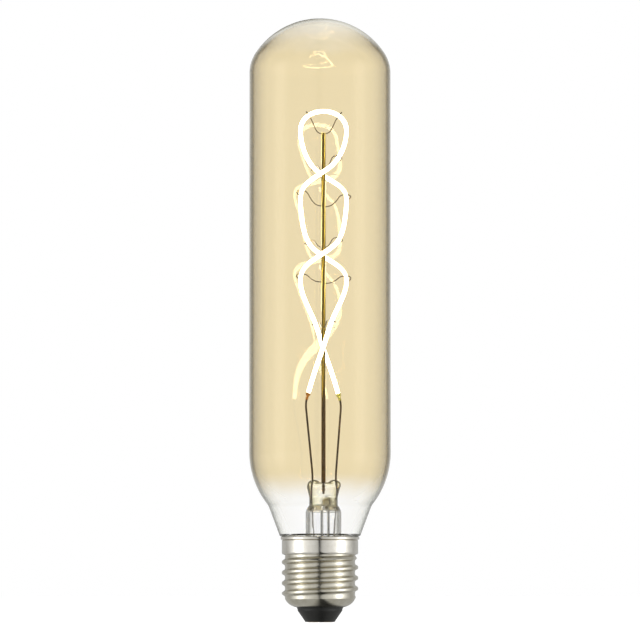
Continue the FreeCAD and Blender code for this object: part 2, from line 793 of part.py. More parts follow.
def make_capacitor():
    """A can that lies below the board, with two leads bent up to it."""
    radius, half, x = size.capacitor_radius, size.capacitor_length / 2, size.capacitor_place
    height = BOARD_UNDERSIDE - size.capacitor_gap - radius
    head = point(x, half, height)
    shape = swept([point(x, -half, height), head], radius, sides=20)
    for side in (-1, 1):
        inside = head + point(side * size.capacitor_pitch / 2, -size.capacitor_reach, 0)
        turn = inside + point(0, 2 * size.capacitor_reach, 0)
        lead = softened([inside, turn, point(turn.x, turn.y, BOARD_UNDERSIDE)])
        shape = shape.fuse(swept(lead, size.hookup_diameter / 2, sides=8))
    return solid("smoothing_capacitor", shape)


def fuse_foot():
    """The lower end of the fuse's lead, where the contact wire meets it."""
    return point(size.fuse_place, 0, INSULATOR_TOP + size.fuse_rise)


def make_fuse():
    """A small resistor on end below the board, with its two leads."""
    foot, head = fuse_foot(), point(size.fuse_place, 0, BOARD_UNDERSIDE)
    shape = swept([foot, head], size.hookup_diameter / 2, sides=8)
    body = swept([foot + UP * size.fuse_lead, head - UP * size.fuse_lead], size.fuse_radius, sides=12)
    return solid("fuse_resistor", shape.fuse(body))


def make_contact_wire():
    end = fuse_foot()
    turn = INSULATOR_TOP + size.hookup_diameter
    points = [point(0, 0, size.contact_wall), point(0, 0, turn), point(end.x, 0, turn), end]
    return solid("contact_wire", swept(softened(points), size.hookup_diameter / 2, sides=8))


def make_shell_wire():
    """From the board's upper face to the inside of the shell."""
    wall, foot = size.root_radius - size.shell_wall, size.board_top
    near, top = wall - size.hookup_reach, foot + size.hookup_rise
    points = [point(near, 0, foot), point(near, 0, top), point(wall, 0, top)]
    shape = swept(softened(points), size.hookup_diameter / 2, sides=8)
    shape.rotate(point(0, 0, 0), UP, size.hookup_angle)
    return solid("shell_wire", shape)


def build():
    make_envelope()
    make_stem()
    make_exhaust_tube()
    make_support_rod()
    make_filament()
    for side, start in (("left", FRONT), ("right", BACK)):
        make_clip(side, start)
        solid(f"inner_lead_{side}", inner_lead_shape(side, start))
        solid(f"seal_wire_{side}", seal_wire_shape(side))
        make_outer_lead(side)
    for support in SUPPORTS:
        make_support_wire(*support)
    make_cap_shell()
    make_insulator()
    make_contact()
    make_contact_solder()
    make_cement()
    make_board()
    make_chip("bridge_rectifier", "rectifier")
    make_chip("current_regulator", "regulator")
    make_capacitor()
    make_fuse()
    make_contact_wire()
    make_shell_wire()
    doc.recompute()


def check():
    failed = [o.Name for o in doc.Objects if "Invalid" in o.State or "Error" in o.State]
    for part in SUB_PARTS:
        shape = part.Shape
        if shape.isNull() or not shape.isValid() or not shape.Solids:
            failed.append(part.Label)
    if failed:
        raise RuntimeError(f"failed: {', '.join(failed)}")


def write():
    os.makedirs("parts", exist_ok=True)
    for part in SUB_PARTS:
        part.Shape.exportStep(os.path.join("parts", f"{part.Label}.step"))


build()
check()
write()
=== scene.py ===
"""A tubular filament lamp: tinted glass, a twisted strip of light on a stem, a screw cap."""

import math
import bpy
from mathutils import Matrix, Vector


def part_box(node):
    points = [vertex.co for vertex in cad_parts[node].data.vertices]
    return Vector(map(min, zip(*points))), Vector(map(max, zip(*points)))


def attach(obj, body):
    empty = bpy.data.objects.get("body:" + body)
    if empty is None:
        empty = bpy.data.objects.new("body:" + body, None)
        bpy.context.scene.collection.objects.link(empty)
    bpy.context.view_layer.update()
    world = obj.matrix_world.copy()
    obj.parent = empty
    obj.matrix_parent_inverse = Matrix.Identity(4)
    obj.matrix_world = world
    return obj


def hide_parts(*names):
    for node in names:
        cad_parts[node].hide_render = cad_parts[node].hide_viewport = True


bl_info = {
    "name": "Tubular Filament Lamp",
    "version": (1, 0, 0),
    "blender": (4, 5, 0),
    "location": "3D View > Sidebar > Lamp",
    "description": "Models the glass, filament, stem and cap of a tubular lamp in its studio",
    "category": "Add Mesh",
}

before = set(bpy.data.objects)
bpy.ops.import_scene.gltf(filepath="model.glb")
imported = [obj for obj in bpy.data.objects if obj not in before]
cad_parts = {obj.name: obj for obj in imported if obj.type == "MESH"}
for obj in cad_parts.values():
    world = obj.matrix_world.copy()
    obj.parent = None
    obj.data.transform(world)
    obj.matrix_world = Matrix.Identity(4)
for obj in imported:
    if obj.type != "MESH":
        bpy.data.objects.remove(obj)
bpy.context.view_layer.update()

import bmesh
import bpy
from bpy.props import FloatProperty, FloatVectorProperty, IntProperty, PointerProperty
from mathutils import Matrix, Vector

MM = 0.001
AXIS = Vector((0, 0, 1))
SIDES = ("left", "right")
CREASE = math.radians(40)  # edges that turn by more than this stay crisp


def linear(text):
    """A hex sRGB colour as the linear colour that a socket takes."""
    parts = [int(text[start:start + 2], 16) / 255 for start in (1, 3, 5)]
    return (*(part / 12.92 if part <= 0.04045 else ((part + 0.055) / 1.055) ** 2.4
              for part in parts), 1.0)


def node_span(node):
    """Middle along X, lowest and highest point of a node of the frame."""
    low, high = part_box(node)
    return (low.x + high.x) / 2, low.z, high.z


# The settings that a user would change. Heights are over the contact's face.

ENVELOPE_LOW, ENVELOPE_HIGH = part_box("glass_envelope")
ROD_X, ROD_FOOT, ROD_TOP = node_span("support_rod")
TUBE_X, TUBE_TIP, PRESS_FLOOR = node_span("exhaust_tube")
NECK_END = ENVELOPE_LOW.z
ROD_GOLD_FOOT, ROD_BROWN_TOP = 84 * MM, 74 * MM  # between these the rod turns brown


def real(name, value, description, **options):
    return FloatProperty(name=name, description=description, default=value, **options)


def length(name, millimetres, description):
    return real(name, millimetres * MM, description, unit="LENGTH")


def angle(name, degrees, description):
    return real(name, math.radians(degrees), description, unit="ROTATION")


def colour(name, text, description):
    return FloatVectorProperty(name=name, description=description, default=linear(text),
                               size=4, subtype="COLOR", min=0, max=1)


def count(name, value, description):
    return IntProperty(name=name, description=description, default=value, min=16)


class LampGlassSettings(bpy.types.PropertyGroup):
    top: length("Crown", ENVELOPE_HIGH.z / MM, "Height of the crown's top")
    half: length("Tube radius", ENVELOPE_HIGH.x / MM, "Outside radius of the tube")
    wall: length("Wall", 1.0, "Thickness of the blown glass")
    crown_excess: length("Crown excess", 2.4, "Crown's radius over the tube's")
    knuckle: length("Knuckle", 12.5, "Round between dome and tube")
    shoulder_height: length("Shoulder height", 58.8, "Where the straight tube ends")
    shoulder: length("Shoulder", 29.1, "Convex round below the tube")
    shoulder_slope: angle("Shoulder slope", 38, "Steepest lean of the shoulder")
    throat: length("Throat", 5.0, "Hollow round between shoulder and neck")
    neck_slope: angle("Neck slope", 20.5, "Lean of the neck cone")
    rim: length("Rim", 29.85, "Height of the glass rim over the cap's lip")
    neck: length("Neck", 12.3, "Radius of the neck inside the cap")
    neck_tuck: length("Neck tuck", 0.8, "Height of the step from cone to neck")
    fade_low: length("Coat's foot", 42.5, "Height where the amber coat has ended")
    fade_high: length("Coat's start", 54.0, "Height from which the amber coat is full")
    crown_fade: length("Crown's fade", 200.0, "Height from which the coat thins towards the crown")
    amber: colour("Amber", "#ECDAAF", "What one coated wall lets through")
    turns: count("Turns", 160, "Faces round the glass")


class LampStemSettings(bpy.types.PropertyGroup):
    flare: length("Flare tube", 6.2, "Outside radius of the straight tube")
    wall: length("Wall", 0.8, "Thickness of the flare tube")
    flare_top: length("Flare top", 30.0, "Height where the flare turns into the tube")
    press_foot: length("Press foot", 38.2, "Height where the tube begins to flatten")
    shelf_rise: length("Shelf", 2.5, "Shelf above the foot of the press")
    shelf_depth: length("Shelf depth", 3.6, "Half thickness of the shelf")
    waist_rise: length("Waist rise", 5.05, "Waist above the foot of the press")
    waist: length("Waist", 4.95, "Half width of the waist")
    depth: length("Press depth", 2.7, "Half thickness of the press")
    head: length("Head", 5.8, "Half width of the head")
    head_drop: length("Head drop", 1.7, "Widest part of the head below its top")
    top: length("Press top", 48.3, "Height of the dip between the two lobes")
    lobe_rise: length("Lobe rise", 1.0, "Lobes above the dip")
    lobe: length("Lobe", 1.9, "Radius of the glass that wets each inner lead")
    hollow_width: length("Hollow width", 4.75, "Half width of the hollow's ceiling")
    hollow_depth: length("Hollow depth", 3.0, "Half depth of the hollow's ceiling")
    exhaust: length("Exhaust tube", 1.6, "Outside radius of the exhaust tube")
    exhaust_bore: length("Exhaust bore", 1.3, "Inside radius of the exhaust tube")
    hole: length("Pumping hole", 1.7, "Radius of the blown hole in the press")
    grain: length("Melt", 0.17, "Size of the smallest melted detail")


class LampStripSettings(bpy.types.PropertyGroup):
    radius: length("Strip radius", 0.76, "Radius of the coated strip")
    helix: length("Helix radius", 8.0, "Strip's middle from the stem's axis")
    foot: length("Strip foot", 79.2, "Height of the strip's two ends")
    top: length("Strip top", 170.5, "Height where the arch starts")
    arch: length("Arch rise", 6.7, "Top of the arch over its feet")
    fullness: real("Arch fullness", 2.1, "2 is an ellipse, more is squarer")
    clip: length("Clip radius", 0.85, "Radius of the end clips")
    clip_length: length("Clip length", 2.6, "Length of the end clips")
    clip_lap: length("Clip lap", 1.4, "Lead that runs on in line with the clip")
    glow: real("Glow", 52, "Strength of the strip's light", min=0)


class LampWireSettings(bpy.types.PropertyGroup):
    lead: length("Inner lead", 0.35, "Radius of the leads above the press")
    seal: length("Seal wire", 0.32, "Radius of the wires sealed in the press")
    outer: length("Outer lead", 0.25, "Radius of the slack leads in the flare")
    support: length("Support wire", 0.17, "Radius of the wires that hold the strip")
    left: length("Left lead", -3.8, "Left lead beside the stem axis")
    right: length("Right lead", 4.3, "Right lead beside the stem axis")
    weld: length("Weld", 47.2, "Height where inner lead and seal wire meet")
    stub: length("Stub", 2.0, "Inner lead that stands straight out of the glass")
    board: length("Board", 15.4, "Height of the board that the outer leads reach")
    hook_gap: length("Hook gap", 0.15, "Between a hook and the strip")
    sag: real("Sag", 0.3, "Share of its rise that a support wire hangs through")


class LampCapSettings(bpy.types.PropertyGroup):
    lip_top: length("Lip top", 29.5, "Height of the lip's edge")
    lip_height: length("Lip height", 1.2, "Height of the flared part")
    lip: length("Lip", 13.6, "Radius of the lip")
    skirt: length("Skirt", 13.2, "Radius of the plain collar")
    thread_top: length("Thread top", 23.2, "Upper end of the thread")
    thread_foot: length("Thread foot", 8.0, "Lower end of the thread")
    crest: length("Crest", 13.2, "Radius of the thread's crest")
    root: length("Root", 12.1, "Radius of the thread's root")
    pitch: length("Pitch", 3.629, "Height of one turn")
    ridge: length("Ridge", 2.3, "Height of the ridge's foot")
    ridge_top: length("Ridge top", 0.7, "Height of the ridge's flat top")
    mouth: length("Mouth", 8.4, "Radius of the shell's lower opening")
    cone: length("Cone", 2.8, "Height of the cone below the thread")
    sheet: length("Sheet", 0.3, "Thickness of the sheet")
    face: length("Insulator face", 0.1, "Height of the insulator's lower face")
    foot: length("Insulator foot", 5.15, "Radius of the insulator's lower face")
    taper: length("Taper", 6.1, "Radius low on the insulator's side")
    taper_height: length("Taper height", 1.6, "Height of that radius")
    bulge: length("Bulge", 7.75, "Radius of the insulator's swell")
    bulge_height: length("Bulge height", 4.2, "Height of the swell")
    insulator_top: length("Insulator top", 7.0, "Height of the insulator inside the shell")
    contact: length("Contact", 4.4, "Radius of the centre contact")
    contact_wall: length("Contact wall", 0.8, "Thickness of the centre contact")
    contact_hole: length("Contact hole", 0.8, "Radius of the contact's eyelet")
    wire_hole: length("Wire hole", 1.1, "Radius of the insulator's hole")
    turns: count("Turns", 192, "Faces round the cap")


class LampStageSettings(bpy.types.PropertyGroup):
    distance: length("Distance", 1600, "Camera's distance from the lamp's axis")
    eye: length("Eye height", 14, "Camera's height over the floor")
    aim: length("Aim", 104.56, "Height that the camera looks at")
    view: length("View", 221.95, "Height of what the picture shows, at the axis")
    softbox: real("Softboxes", 5.0, "Power of each softbox", unit="POWER")
    fill: real("Fill", 0.62, "World's light on dull surfaces", min=0)
    ends: real("Floor and ceiling", 0.5, "How bright they are in reflections")


# Materials. Each is named for the real one.

def plug(node, inputs):
    """Sets sockets to constants, or feeds them from other sockets or from nodes' first outputs."""
    for socket, value in inputs.items():
        if isinstance(value, bpy.types.Node):
            value = value.outputs[0]
        if isinstance(value, bpy.types.NodeSocket):
            node.id_data.links.new(value, node.inputs[socket])
        else:
            node.inputs[socket].default_value = value


def add_node(tree, kind, inputs=None, stops=None, **settings):
    """A node with its settings, its constants, what feeds it and, where it is a ramp, the hex or
    linear colour at each place."""
    node = tree.nodes.new("ShaderNode" + kind)
    for name, value in settings.items():
        setattr(node, name, value)
    if stops:
        elements = node.color_ramp.elements
        while len(elements) < len(stops):
            elements.new(0.5)
        for element, (place, shade) in zip(elements, stops.items()):
            element.position = place
            element.color = linear(shade) if isinstance(shade, str) else shade
    plug(node, inputs or {})
    return node


def new_material(name, constants):
    """A material, its node tree and its shader, with constants on the shader's own sockets."""
    material = bpy.data.materials.new(name)
    material.use_nodes = True
    shader = material.node_tree.nodes["Principled BSDF"]
    plug(shader, constants)
    return material, material.node_tree, shader


def object_place(tree):
    return add_node(tree, "TexCoord").outputs["Object"]


def object_height(tree):
    return add_node(tree, "SeparateXYZ", {"Vector": object_place(tree)}).outputs["Z"]


def height_share(tree, start, end, **settings):
    """0 up to the first height and 1 from the second one on."""
    return add_node(tree, "MapRange", {
        "Value": object_height(tree), "From Min": start, "From Max": end}, **settings)


def edge_share(tree):
    """0 where the surface faces the eye and 1 at its outline."""
    return add_node(tree, "LayerWeight", {"Blend": 0.5}).outputs["Facing"]


def blobs(tree, size_mm, detail=3.0):
    """What makes a noise's blobs as large as the given millimetres."""
    return {"Vector": object_place(tree), "Scale": 1 / (size_mm * MM), "Detail": detail}


def relief(height, depth_mm):
    """What makes a bump as deep as the given millimetres."""
    return {"Height": height, "Distance": depth_mm * MM, "Strength": 1.0}


COAT_BLOB, COAT_WANDER = 9, 3  # millimetres along and up that the coat's edge wanders


def coat_share(tree, glass, crown):
    """The amber coat: none at the neck, all in the tube, the given share on top of the crown."""
    waves = add_node(tree, "TexNoise", blobs(tree, COAT_BLOB, detail=1.0))
    wander = add_node(tree, "Math", {0: waves, 1: COAT_WANDER * MM, 2: object_height(tree)},
                      operation="MULTIPLY_ADD")
    shares = [
        add_node(tree, "MapRange", {
            "Value": wander, "From Min": bare, "From Max": full, "To Min": least},
            interpolation_type="SMOOTHSTEP")
        for bare, full, least in ((glass.fade_low, glass.fade_high, 0.0),
                                  (glass.top, glass.crown_fade, crown))]
    return add_node(tree, "Math", dict(enumerate(shares)), operation="MULTIPLY")


GLASS = {"Roughness": 0.0, "Transmission Weight": 1.0}
STEM_GLASS = {**GLASS, "IOR": 1.52}
# The coat takes some of the blue out of what the blown glass mirrors.
BLOWN_GLASS = {**GLASS, "IOR": 1.5, "Specular Tint": linear("#D6CBB0")}


def blown_glass_outside(glass):
    # Soda-lime glass, blown and fire polished: clear, with a dark edge of painted shade where the
    # wall is seen end on. Where it is coated, the light at the edge crosses the coat at a slant,
    # so that painted edge is wide and brown. On the crown's top the painted edge is thin and
    # olive.
    material, tree, shader = new_material("soda_lime_glass_blown", BLOWN_GLASS)
    edge = edge_share(tree)
    clear = add_node(tree, "ValToRGB", {"Fac": edge}, stops={
        0.0: "#FFFFFF", 0.4: "#F6F6F2", 0.52: "#DEDED8", 0.62: "#B8B9B2", 0.72: "#74756E",
        0.82: "#3A3B34", 0.92: "#6E6F68", 1.0: "#A4A4A0"})
    coated = add_node(tree, "ValToRGB", {"Fac": edge}, stops={
        0.0: "#FFFFFF", 0.35: "#F4F4F2", 0.45: "#DEDDDA", 0.52: "#C8C7C2", 0.58: "#B4B1A8",
        0.64: "#8F8874", 0.68: "#4A3F26", 0.76: "#3A301C", 0.83: "#6A5E44", 0.89: "#A09C8C",
        1.0: "#B8B8B0"})
    crown = add_node(tree, "ValToRGB", {"Fac": edge}, stops={
        0.0: "#FFFFFF", 0.6: "#FCFBF4", 0.75: "#E8E4D0", 0.85: "#C0BAA2", 0.93: "#747058",
        1.0: "#605C46"})
    sides = add_node(tree, "MixRGB", {
        "Fac": coat_share(tree, glass, 1.0), "Color1": clear, "Color2": coated})
    domed = height_share(tree, glass.crown_fade - 2 * MM, glass.top - 2.5 * MM,
                         interpolation_type="SMOOTHSTEP")
    plug(shader, {"Base Color": add_node(tree, "MixRGB", {
        "Fac": domed, "Color1": sides, "Color2": crown})})
    return material


def amber_lustre_inside(glass):
    # The same glass with an amber lustre fired on the inside: honey tint, fading above the neck.
    material, tree, shader = new_material("soda_lime_glass_amber_lustre", BLOWN_GLASS)
    coat = coat_share(tree, glass, 0.35)
    plug(shader, {"Base Color": add_node(tree, "ValToRGB", {"Fac": coat}, stops={
        0.0: "#FFFFFF", 1.0: glass.amber})})
    return material


def stem_glass(stem):
    # Lead-free stem glass. The drawn tubes have grey edges; the melted and pinched press is thick
    # and wavy, with olive-brown shadows in its folds. Edges and shadows alike are painted shade,
    # darkest towards the outline.
    material, tree, shader = new_material("stem_glass_pressed", STEM_GLASS)
    edge = edge_share(tree)
    drawn = add_node(tree, "ValToRGB", {"Fac": edge}, stops={
        0.0: "#FFFFFF", 0.3: "#F4F4F2", 0.42: "#BEBEB8", 0.54: "#70706A", 0.68: "#3E3E3A",
        1.0: "#2C2C28"})
    melted = add_node(tree, "ValToRGB", {"Fac": edge}, stops={
        0.0: "#FCFAEE", 0.14: "#E8E3C6", 0.26: "#989068", 0.4: "#40391C", 0.58: "#1C180A",
        1.0: "#120E06"})
    pressed = height_share(tree, stem.press_foot, stem.press_foot + 1.5 * MM)
    plain = add_node(tree, "MixRGB", {
        "Fac": pressed, "Color1": drawn, "Color2": melted})
    # Round the blown hole, brown swirls of painted shade stand in for its dark refracted rim.
    hole_shade_swirls = add_node(tree, "TexNoise", {**blobs(tree, 1.1, detail=2.0), "Distortion": 1.4})
    brown = add_node(tree, "ValToRGB", {"Fac": hole_shade_swirls}, stops={
        0.34: "#E4DCB4", 0.42: "#584A20", 0.49: "#0C0803", 0.55: "#241C0A", 0.61: "#8A7C4C",
        0.7: "#E4DCB4"})
    middle = (TUBE_X + 0.5 * MM, -1.5 * MM, PRESS_FLOOR + 1.8 * MM)
    away = add_node(tree, "VectorMath", {0: object_place(tree), 1: middle},
                    operation="DISTANCE").outputs["Value"]
    near = add_node(tree, "MapRange", {
        "Value": away, "From Min": stem.hole * 1.8, "From Max": stem.hole * 1.2})
    plug(shader, {"Base Color": add_node(tree, "MixRGB", {
        "Fac": near, "Color1": plain, "Color2": brown})})
    return material


def capillary_glass():
    # Same glass drawn thick-walled, so each side of the tube shows as a grey line of painted
    # shade.
    material, tree, shader = new_material("stem_glass_drawn", STEM_GLASS)
    plug(shader, {"Base Color": add_node(tree, "ValToRGB", {"Fac": edge_share(tree)}, stops={
        0.0: "#FFFFFF", 0.14: "#ECECE8", 0.24: "#80807A", 0.36: "#464640", 1.0: "#363630"})})
    return material


def phosphor_silicone(strip):
    # Yellow phosphor in silicone over the row of chips, lit: white, and dimmer towards its edge.
    material, tree, shader = new_material("phosphor_silicone_lit", {
        "Base Color": linear("#FFE9A8"), "Roughness": 0.5, "Emission Strength": strip.glow})
    plug(shader, {"Emission Color": add_node(tree, "ValToRGB", {"Fac": edge_share(tree)}, stops={
        0.0: "#FAF8FF", 0.35: "#F4F4FC", 0.5: "#746E58", 0.62: "#38342A", 1.0: "#2A2820"})})
    return material


def grained(name, dark, pale, grain_mm, depth_mm, constants, spread=0.15):
    """A surface of two shades in grains of one size, with as fine a relief."""
    material, tree, shader = new_material(name, constants)
    grain = add_node(tree, "TexNoise", blobs(tree, grain_mm))
    plug(shader, {
        "Base Color": add_node(tree, "ValToRGB", {"Fac": grain}, stops={
            0.5 - spread: dark, 0.5 + spread: pale}),
        "Normal": add_node(tree, "Bump", relief(grain, depth_mm))})
    return material


def drawn_metal(name, dark, pale, roughness, grain_mm):
    """A drawn wire or a stamped sheet with a patchy oxide."""
    return grained(name, dark, pale, grain_mm, 0.01, {"Metallic": 1.0, "Roughness": roughness},
                   spread=0.2)


def browned_rod_steel():
    # Drawn steel, browned by the flame that welded its hooks on. The gold at its sides and the
    # dark line along its middle are a painted reflection; over its lowest stretch it is deep
    # brown, with a painted reflection of its own.
    material, tree, shader = new_material("steel_rod_flame_browned", {
        "Metallic": 1.0, "Roughness": 0.3})
    edge = edge_share(tree)
    gold_with_painted_gleam = add_node(tree, "ValToRGB", {"Fac": edge}, stops={
        0.0: "#403408", 0.08: "#50420A", 0.2: "#665A1C", 0.45: "#8E8454", 1.0: "#847232"})
    brown = add_node(tree, "ValToRGB", {"Fac": edge}, stops={
        0.0: "#3A2804", 0.3: "#5A400C", 0.8: "#94743A", 1.0: "#A4844C"})
    # Darker towards the bottom: gold above the first height, deep brown below the second.
    lower_brown = height_share(tree, ROD_GOLD_FOOT, ROD_BROWN_TOP)
    dents = add_node(tree, "TexNoise", blobs(tree, 3.0))
    plug(shader, {
        "Base Color": add_node(tree, "MixRGB", {
            "Fac": lower_brown, "Color1": gold_with_painted_gleam, "Color2": brown}),
        "Normal": add_node(tree, "Bump", relief(dents, 0.01))})
    return material


NICKEL_ROUGHNESS = (0.10, 0.17, 0.05)  # least, most, and what the worn thread adds


def nickel_plated_steel(cap):
    # Bright nickel on rolled sheet: a warm mirror with faint rolling haze, duller where the
    # thread was rolled in.
    material, tree, shader = new_material("nickel_plate_bright", {"Metallic": 1.0})
    haze = add_node(tree, "TexNoise", blobs(tree, 2.5))
    bright, rolled = [
        add_node(tree, "ValToRGB", {"Fac": haze}, stops={0.3: dark, 0.7: pale})
        for dark, pale in (("#D9D5CC", "#E4E1DA"), ("#C6C1B2", "#D6D2C6"))]
    worn = height_share(tree, cap.thread_top + 0.4 * MM, cap.thread_top - 0.4 * MM)
    least, most, wear = NICKEL_ROUGHNESS
    rough = add_node(tree, "MapRange", {"Value": haze, "To Min": least, "To Max": most})
    plug(shader, {
        "Base Color": add_node(tree, "MixRGB", {
            "Fac": worn, "Color1": bright, "Color2": rolled}),
        "Roughness": add_node(tree, "Math", {0: worn, 1: wear, 2: rough},
                              operation="MULTIPLY_ADD"),
        "Normal": add_node(tree, "Bump", relief(haze, 0.012))})
    return material


def seen_straight(tree):
    """1 for what the eye sees directly or through glass, and 0 for what it sees mirrored."""
    path = add_node(tree, "LightPath").outputs
    return add_node(tree, "Math", {
        0: path["Is Camera Ray"], 1: path["Is Transmission Ray"]}, operation="MAXIMUM")


# Modelling helpers.

def to_mesh(bm, name):
    mesh = bpy.data.meshes.new(name)
    bm.to_mesh(mesh)
    bm.free()
    return mesh


def publish(shape, name, slot, node, *materials):
    """Hands a finished shape over to the frame as the piece that dresses a node."""
    mesh = to_mesh(shape, name) if isinstance(shape, bmesh.types.BMesh) else shape
    mesh.name = name
    piece = bpy.data.objects.new(name, mesh)
    bpy.context.scene.collection.objects.link(piece)
    for material in materials:
        mesh.materials.append(material)
    mesh.shade_smooth()
    mesh.set_sharp_from_angle(angle=CREASE)
    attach(piece, "root")
    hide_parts(node)


class Outline:
    """An outline in the XZ plane, drawn on from its last vertex, that is then turned round."""

    def __init__(self, radius, height):
        self.bm = bmesh.new()
        self.tip = self.bm.verts.new((radius, 0, height))

    def line(self, radius, height, steps=1):
        start, end = self.tip.co.copy(), Vector((radius, 0, height))
        for step in range(1, steps + 1):
            made = bmesh.ops.extrude_vert_indiv(self.bm, verts=[self.tip])
            self.tip = made["verts"][0]
            self.tip.co = start.lerp(end, step / steps)

    def lines(self, *stops):
        """Straight lines through stops, each with its radius, its height and its steps."""
        for stop in stops:
            self.line(*stop)

    def arc(self, radius, height, sweep, steps):
        """Round the given centre; a positive sweep turns from up to outwards to down."""
        made = bmesh.ops.spin(self.bm, geom=[self.tip], cent=(radius, 0, height),
                              axis=(0, 1, 0), angle=sweep, steps=steps)
        self.tip = next(g for g in made["geom_last"] if isinstance(g, bmesh.types.BMVert))

    def turned(self, sides, beside=0):
        """The body that the outline makes round the lamp's axis, or round one beside it."""
        bm = self.bm
        bmesh.ops.spin(bm, geom=bm.verts[:] + bm.edges[:], cent=(0, 0, 0), axis=AXIS,
                       angle=math.tau, steps=sides, use_merge=True)
        bmesh.ops.remove_doubles(bm, verts=bm.verts, dist=0.001 * MM)
        bmesh.ops.recalc_face_normals(bm, faces=bm.faces)
        bmesh.ops.translate(bm, verts=bm.verts, vec=(beside, 0, 0))
        return bm


def ring(bm, half_width, half_depth, height, beside, sides=48):
    """The edges of an oval ring across the axis."""
    place = Matrix.Translation((beside, 0, height))
    made = bmesh.ops.create_circle(bm, radius=1, segments=sides,
                                   matrix=place @ Matrix.Diagonal((half_width, half_depth, 1, 1)))
    return list({edge for vert in made["verts"] for edge in vert.link_edges})


def loft(bm, rings):
    """Joins rings to one another in order and closes both ends."""
    for near, far in zip(rings, rings[1:]):
        bmesh.ops.bridge_loops(bm, edges=near + far)
    for end in (rings[0], rings[-1]):
        bmesh.ops.contextual_create(bm, geom=end)
    bmesh.ops.recalc_face_normals(bm, faces=bm.faces)


def wire_mesh(points, radius, sides=3, order=3, resolution=12):
    """A round wire along a smooth line through or near the points."""
    curve = bpy.data.curves.new("wire", "CURVE")
    curve.dimensions = "3D"
    curve.bevel_depth = radius
    curve.bevel_resolution = sides
    curve.use_fill_caps = True
    curve.resolution_u = resolution
    spline = curve.splines.new("NURBS")
    spline.points.add(len(points) - 1)
    for control, place in zip(spline.points, points):
        control.co = (*place, 1)
    spline.order_u = order
    spline.use_endpoint_u = True
    holder = bpy.data.objects.new("wire", curve)
    mesh = bpy.data.meshes.new_from_object(holder)
    bpy.data.objects.remove(holder)
    bpy.data.curves.remove(curve)
    return mesh


# The light strip's line: two strands wound right-handed round the rod, joined by an arch.

STRAND = [
    # share of the way up the strand, and how far the front strand has turned, in degrees
    (1.0, 0), (0.866, -64), (0.748, -172), (0.577, -229.5),
    (0.439, -352), (0.273, -428), (0.173, -450), (0.0, -490),
]
FRONT, BACK = 0.0, math.pi
STRAND_STEPS = 150
ARCH_STEPS = 40


def strand_turn(share):
    """The turn at a share of the height, eased through the pairs above with no overshoot."""
    shares, turns = zip(*STRAND)
    steps = [b - a for a, b in zip(shares, shares[1:])]
    rates = [(b - a) / step for a, b, step in zip(turns, turns[1:], steps)]
    slopes = [rates[0]]
    for one, other, left, right in zip(rates, rates[1:], steps, steps[1:]):
        near, far = 2 * right + left, right + 2 * left
        slopes.append((near + far) / (near / one + far / other))
    slopes.append(rates[-1])
    span = next((n for n, low in enumerate(shares[1:]) if share >= low), len(steps) - 1)
    part = (share - shares[span]) / steps[span]
    return math.radians((2 * part ** 3 - 3 * part ** 2 + 1) * turns[span]
                        + (part ** 3 - 2 * part ** 2 + part) * steps[span] * slopes[span]
                        + (3 * part ** 2 - 2 * part ** 3) * turns[span + 1]
                        + (part ** 3 - part ** 2) * steps[span] * slopes[span + 1])


def strand_point(strip, share, start):
    turn = strand_turn(share) + start
    return Vector((ROD_X + strip.helix * math.cos(turn), strip.helix * math.sin(turn),
                   strip.foot + (strip.top - strip.foot) * share))


def arch_point(strip, turn):
    """A point on the arch: the back strand's top at 0, the front strand's at pi."""
    power = 2 / strip.fullness
    across = math.cos(turn)
    beside = strip.helix * math.copysign(abs(across) ** power, across)
    return Vector((ROD_X - beside, 0, strip.top + strip.arch * abs(math.sin(turn)) ** power))


def strip_point(strip, stretch, share, start):
    if stretch == "strand":
        return strand_point(strip, share, start)
    turn = math.asin(min(share, 1) ** (strip.fullness / 2))
    return arch_point(strip, turn if start == BACK else math.pi - turn)


def strip_direction(strip, stretch, share, start):
    """Unit direction down the strip."""
    step = 0.0005
    ahead = strip_point(strip, stretch, max(share - step, 0), start)
    return (ahead - strip_point(strip, stretch, share + step, start)).normalized()


def strip_line(strip):
    shares = [number / STRAND_STEPS for number in range(STRAND_STEPS + 1)]
    line = [strand_point(strip, share, BACK) for share in shares]
    line += [arch_point(strip, math.pi * number / ARCH_STEPS) for number in range(1, ARCH_STEPS)]
    return line + [strand_point(strip, share, FRONT) for share in reversed(shares)]


def lead_x(wires, side):
    return ROD_X + (wires.left if side == "left" else wires.right)


SUPPORTS = [
    # node's name, strand, stretch of it, how far up that stretch the hook is, and how many
    # millimetres below the hook the weld is
    ("crown_left", BACK, "arch", 0.79, 4.0), ("crown_right", FRONT, "arch", 0.76, 4.0),
    ("upper_left", BACK, "strand", 0.863, 2.2), ("upper_right", FRONT, "strand", 0.889, 3.0),
    ("second_left", FRONT, "strand", 0.760, 4.4), ("second_right", BACK, "strand", 0.747, 3.4),
    ("middle_left", FRONT, "strand", 0.578, 2.0), ("middle_right", BACK, "strand", 0.578, 2.2),
    ("fourth_left", BACK, "strand", 0.443, 1.9), ("fourth_right", FRONT, "strand", 0.436, 1.7),
    ("lower_left", BACK, "strand", 0.269, 1.8), ("lower_right", FRONT, "strand", 0.269, 1.8),
]
WANDER = {
    # how far the slack outer leads stray along X on their way down, in millimetres
    "left": [0.0, 0.0, 0.6, -0.3, 0.5, 0.5], "right": [0.0, -0.3, -0.8, 0.1, -0.4, -0.4],
}


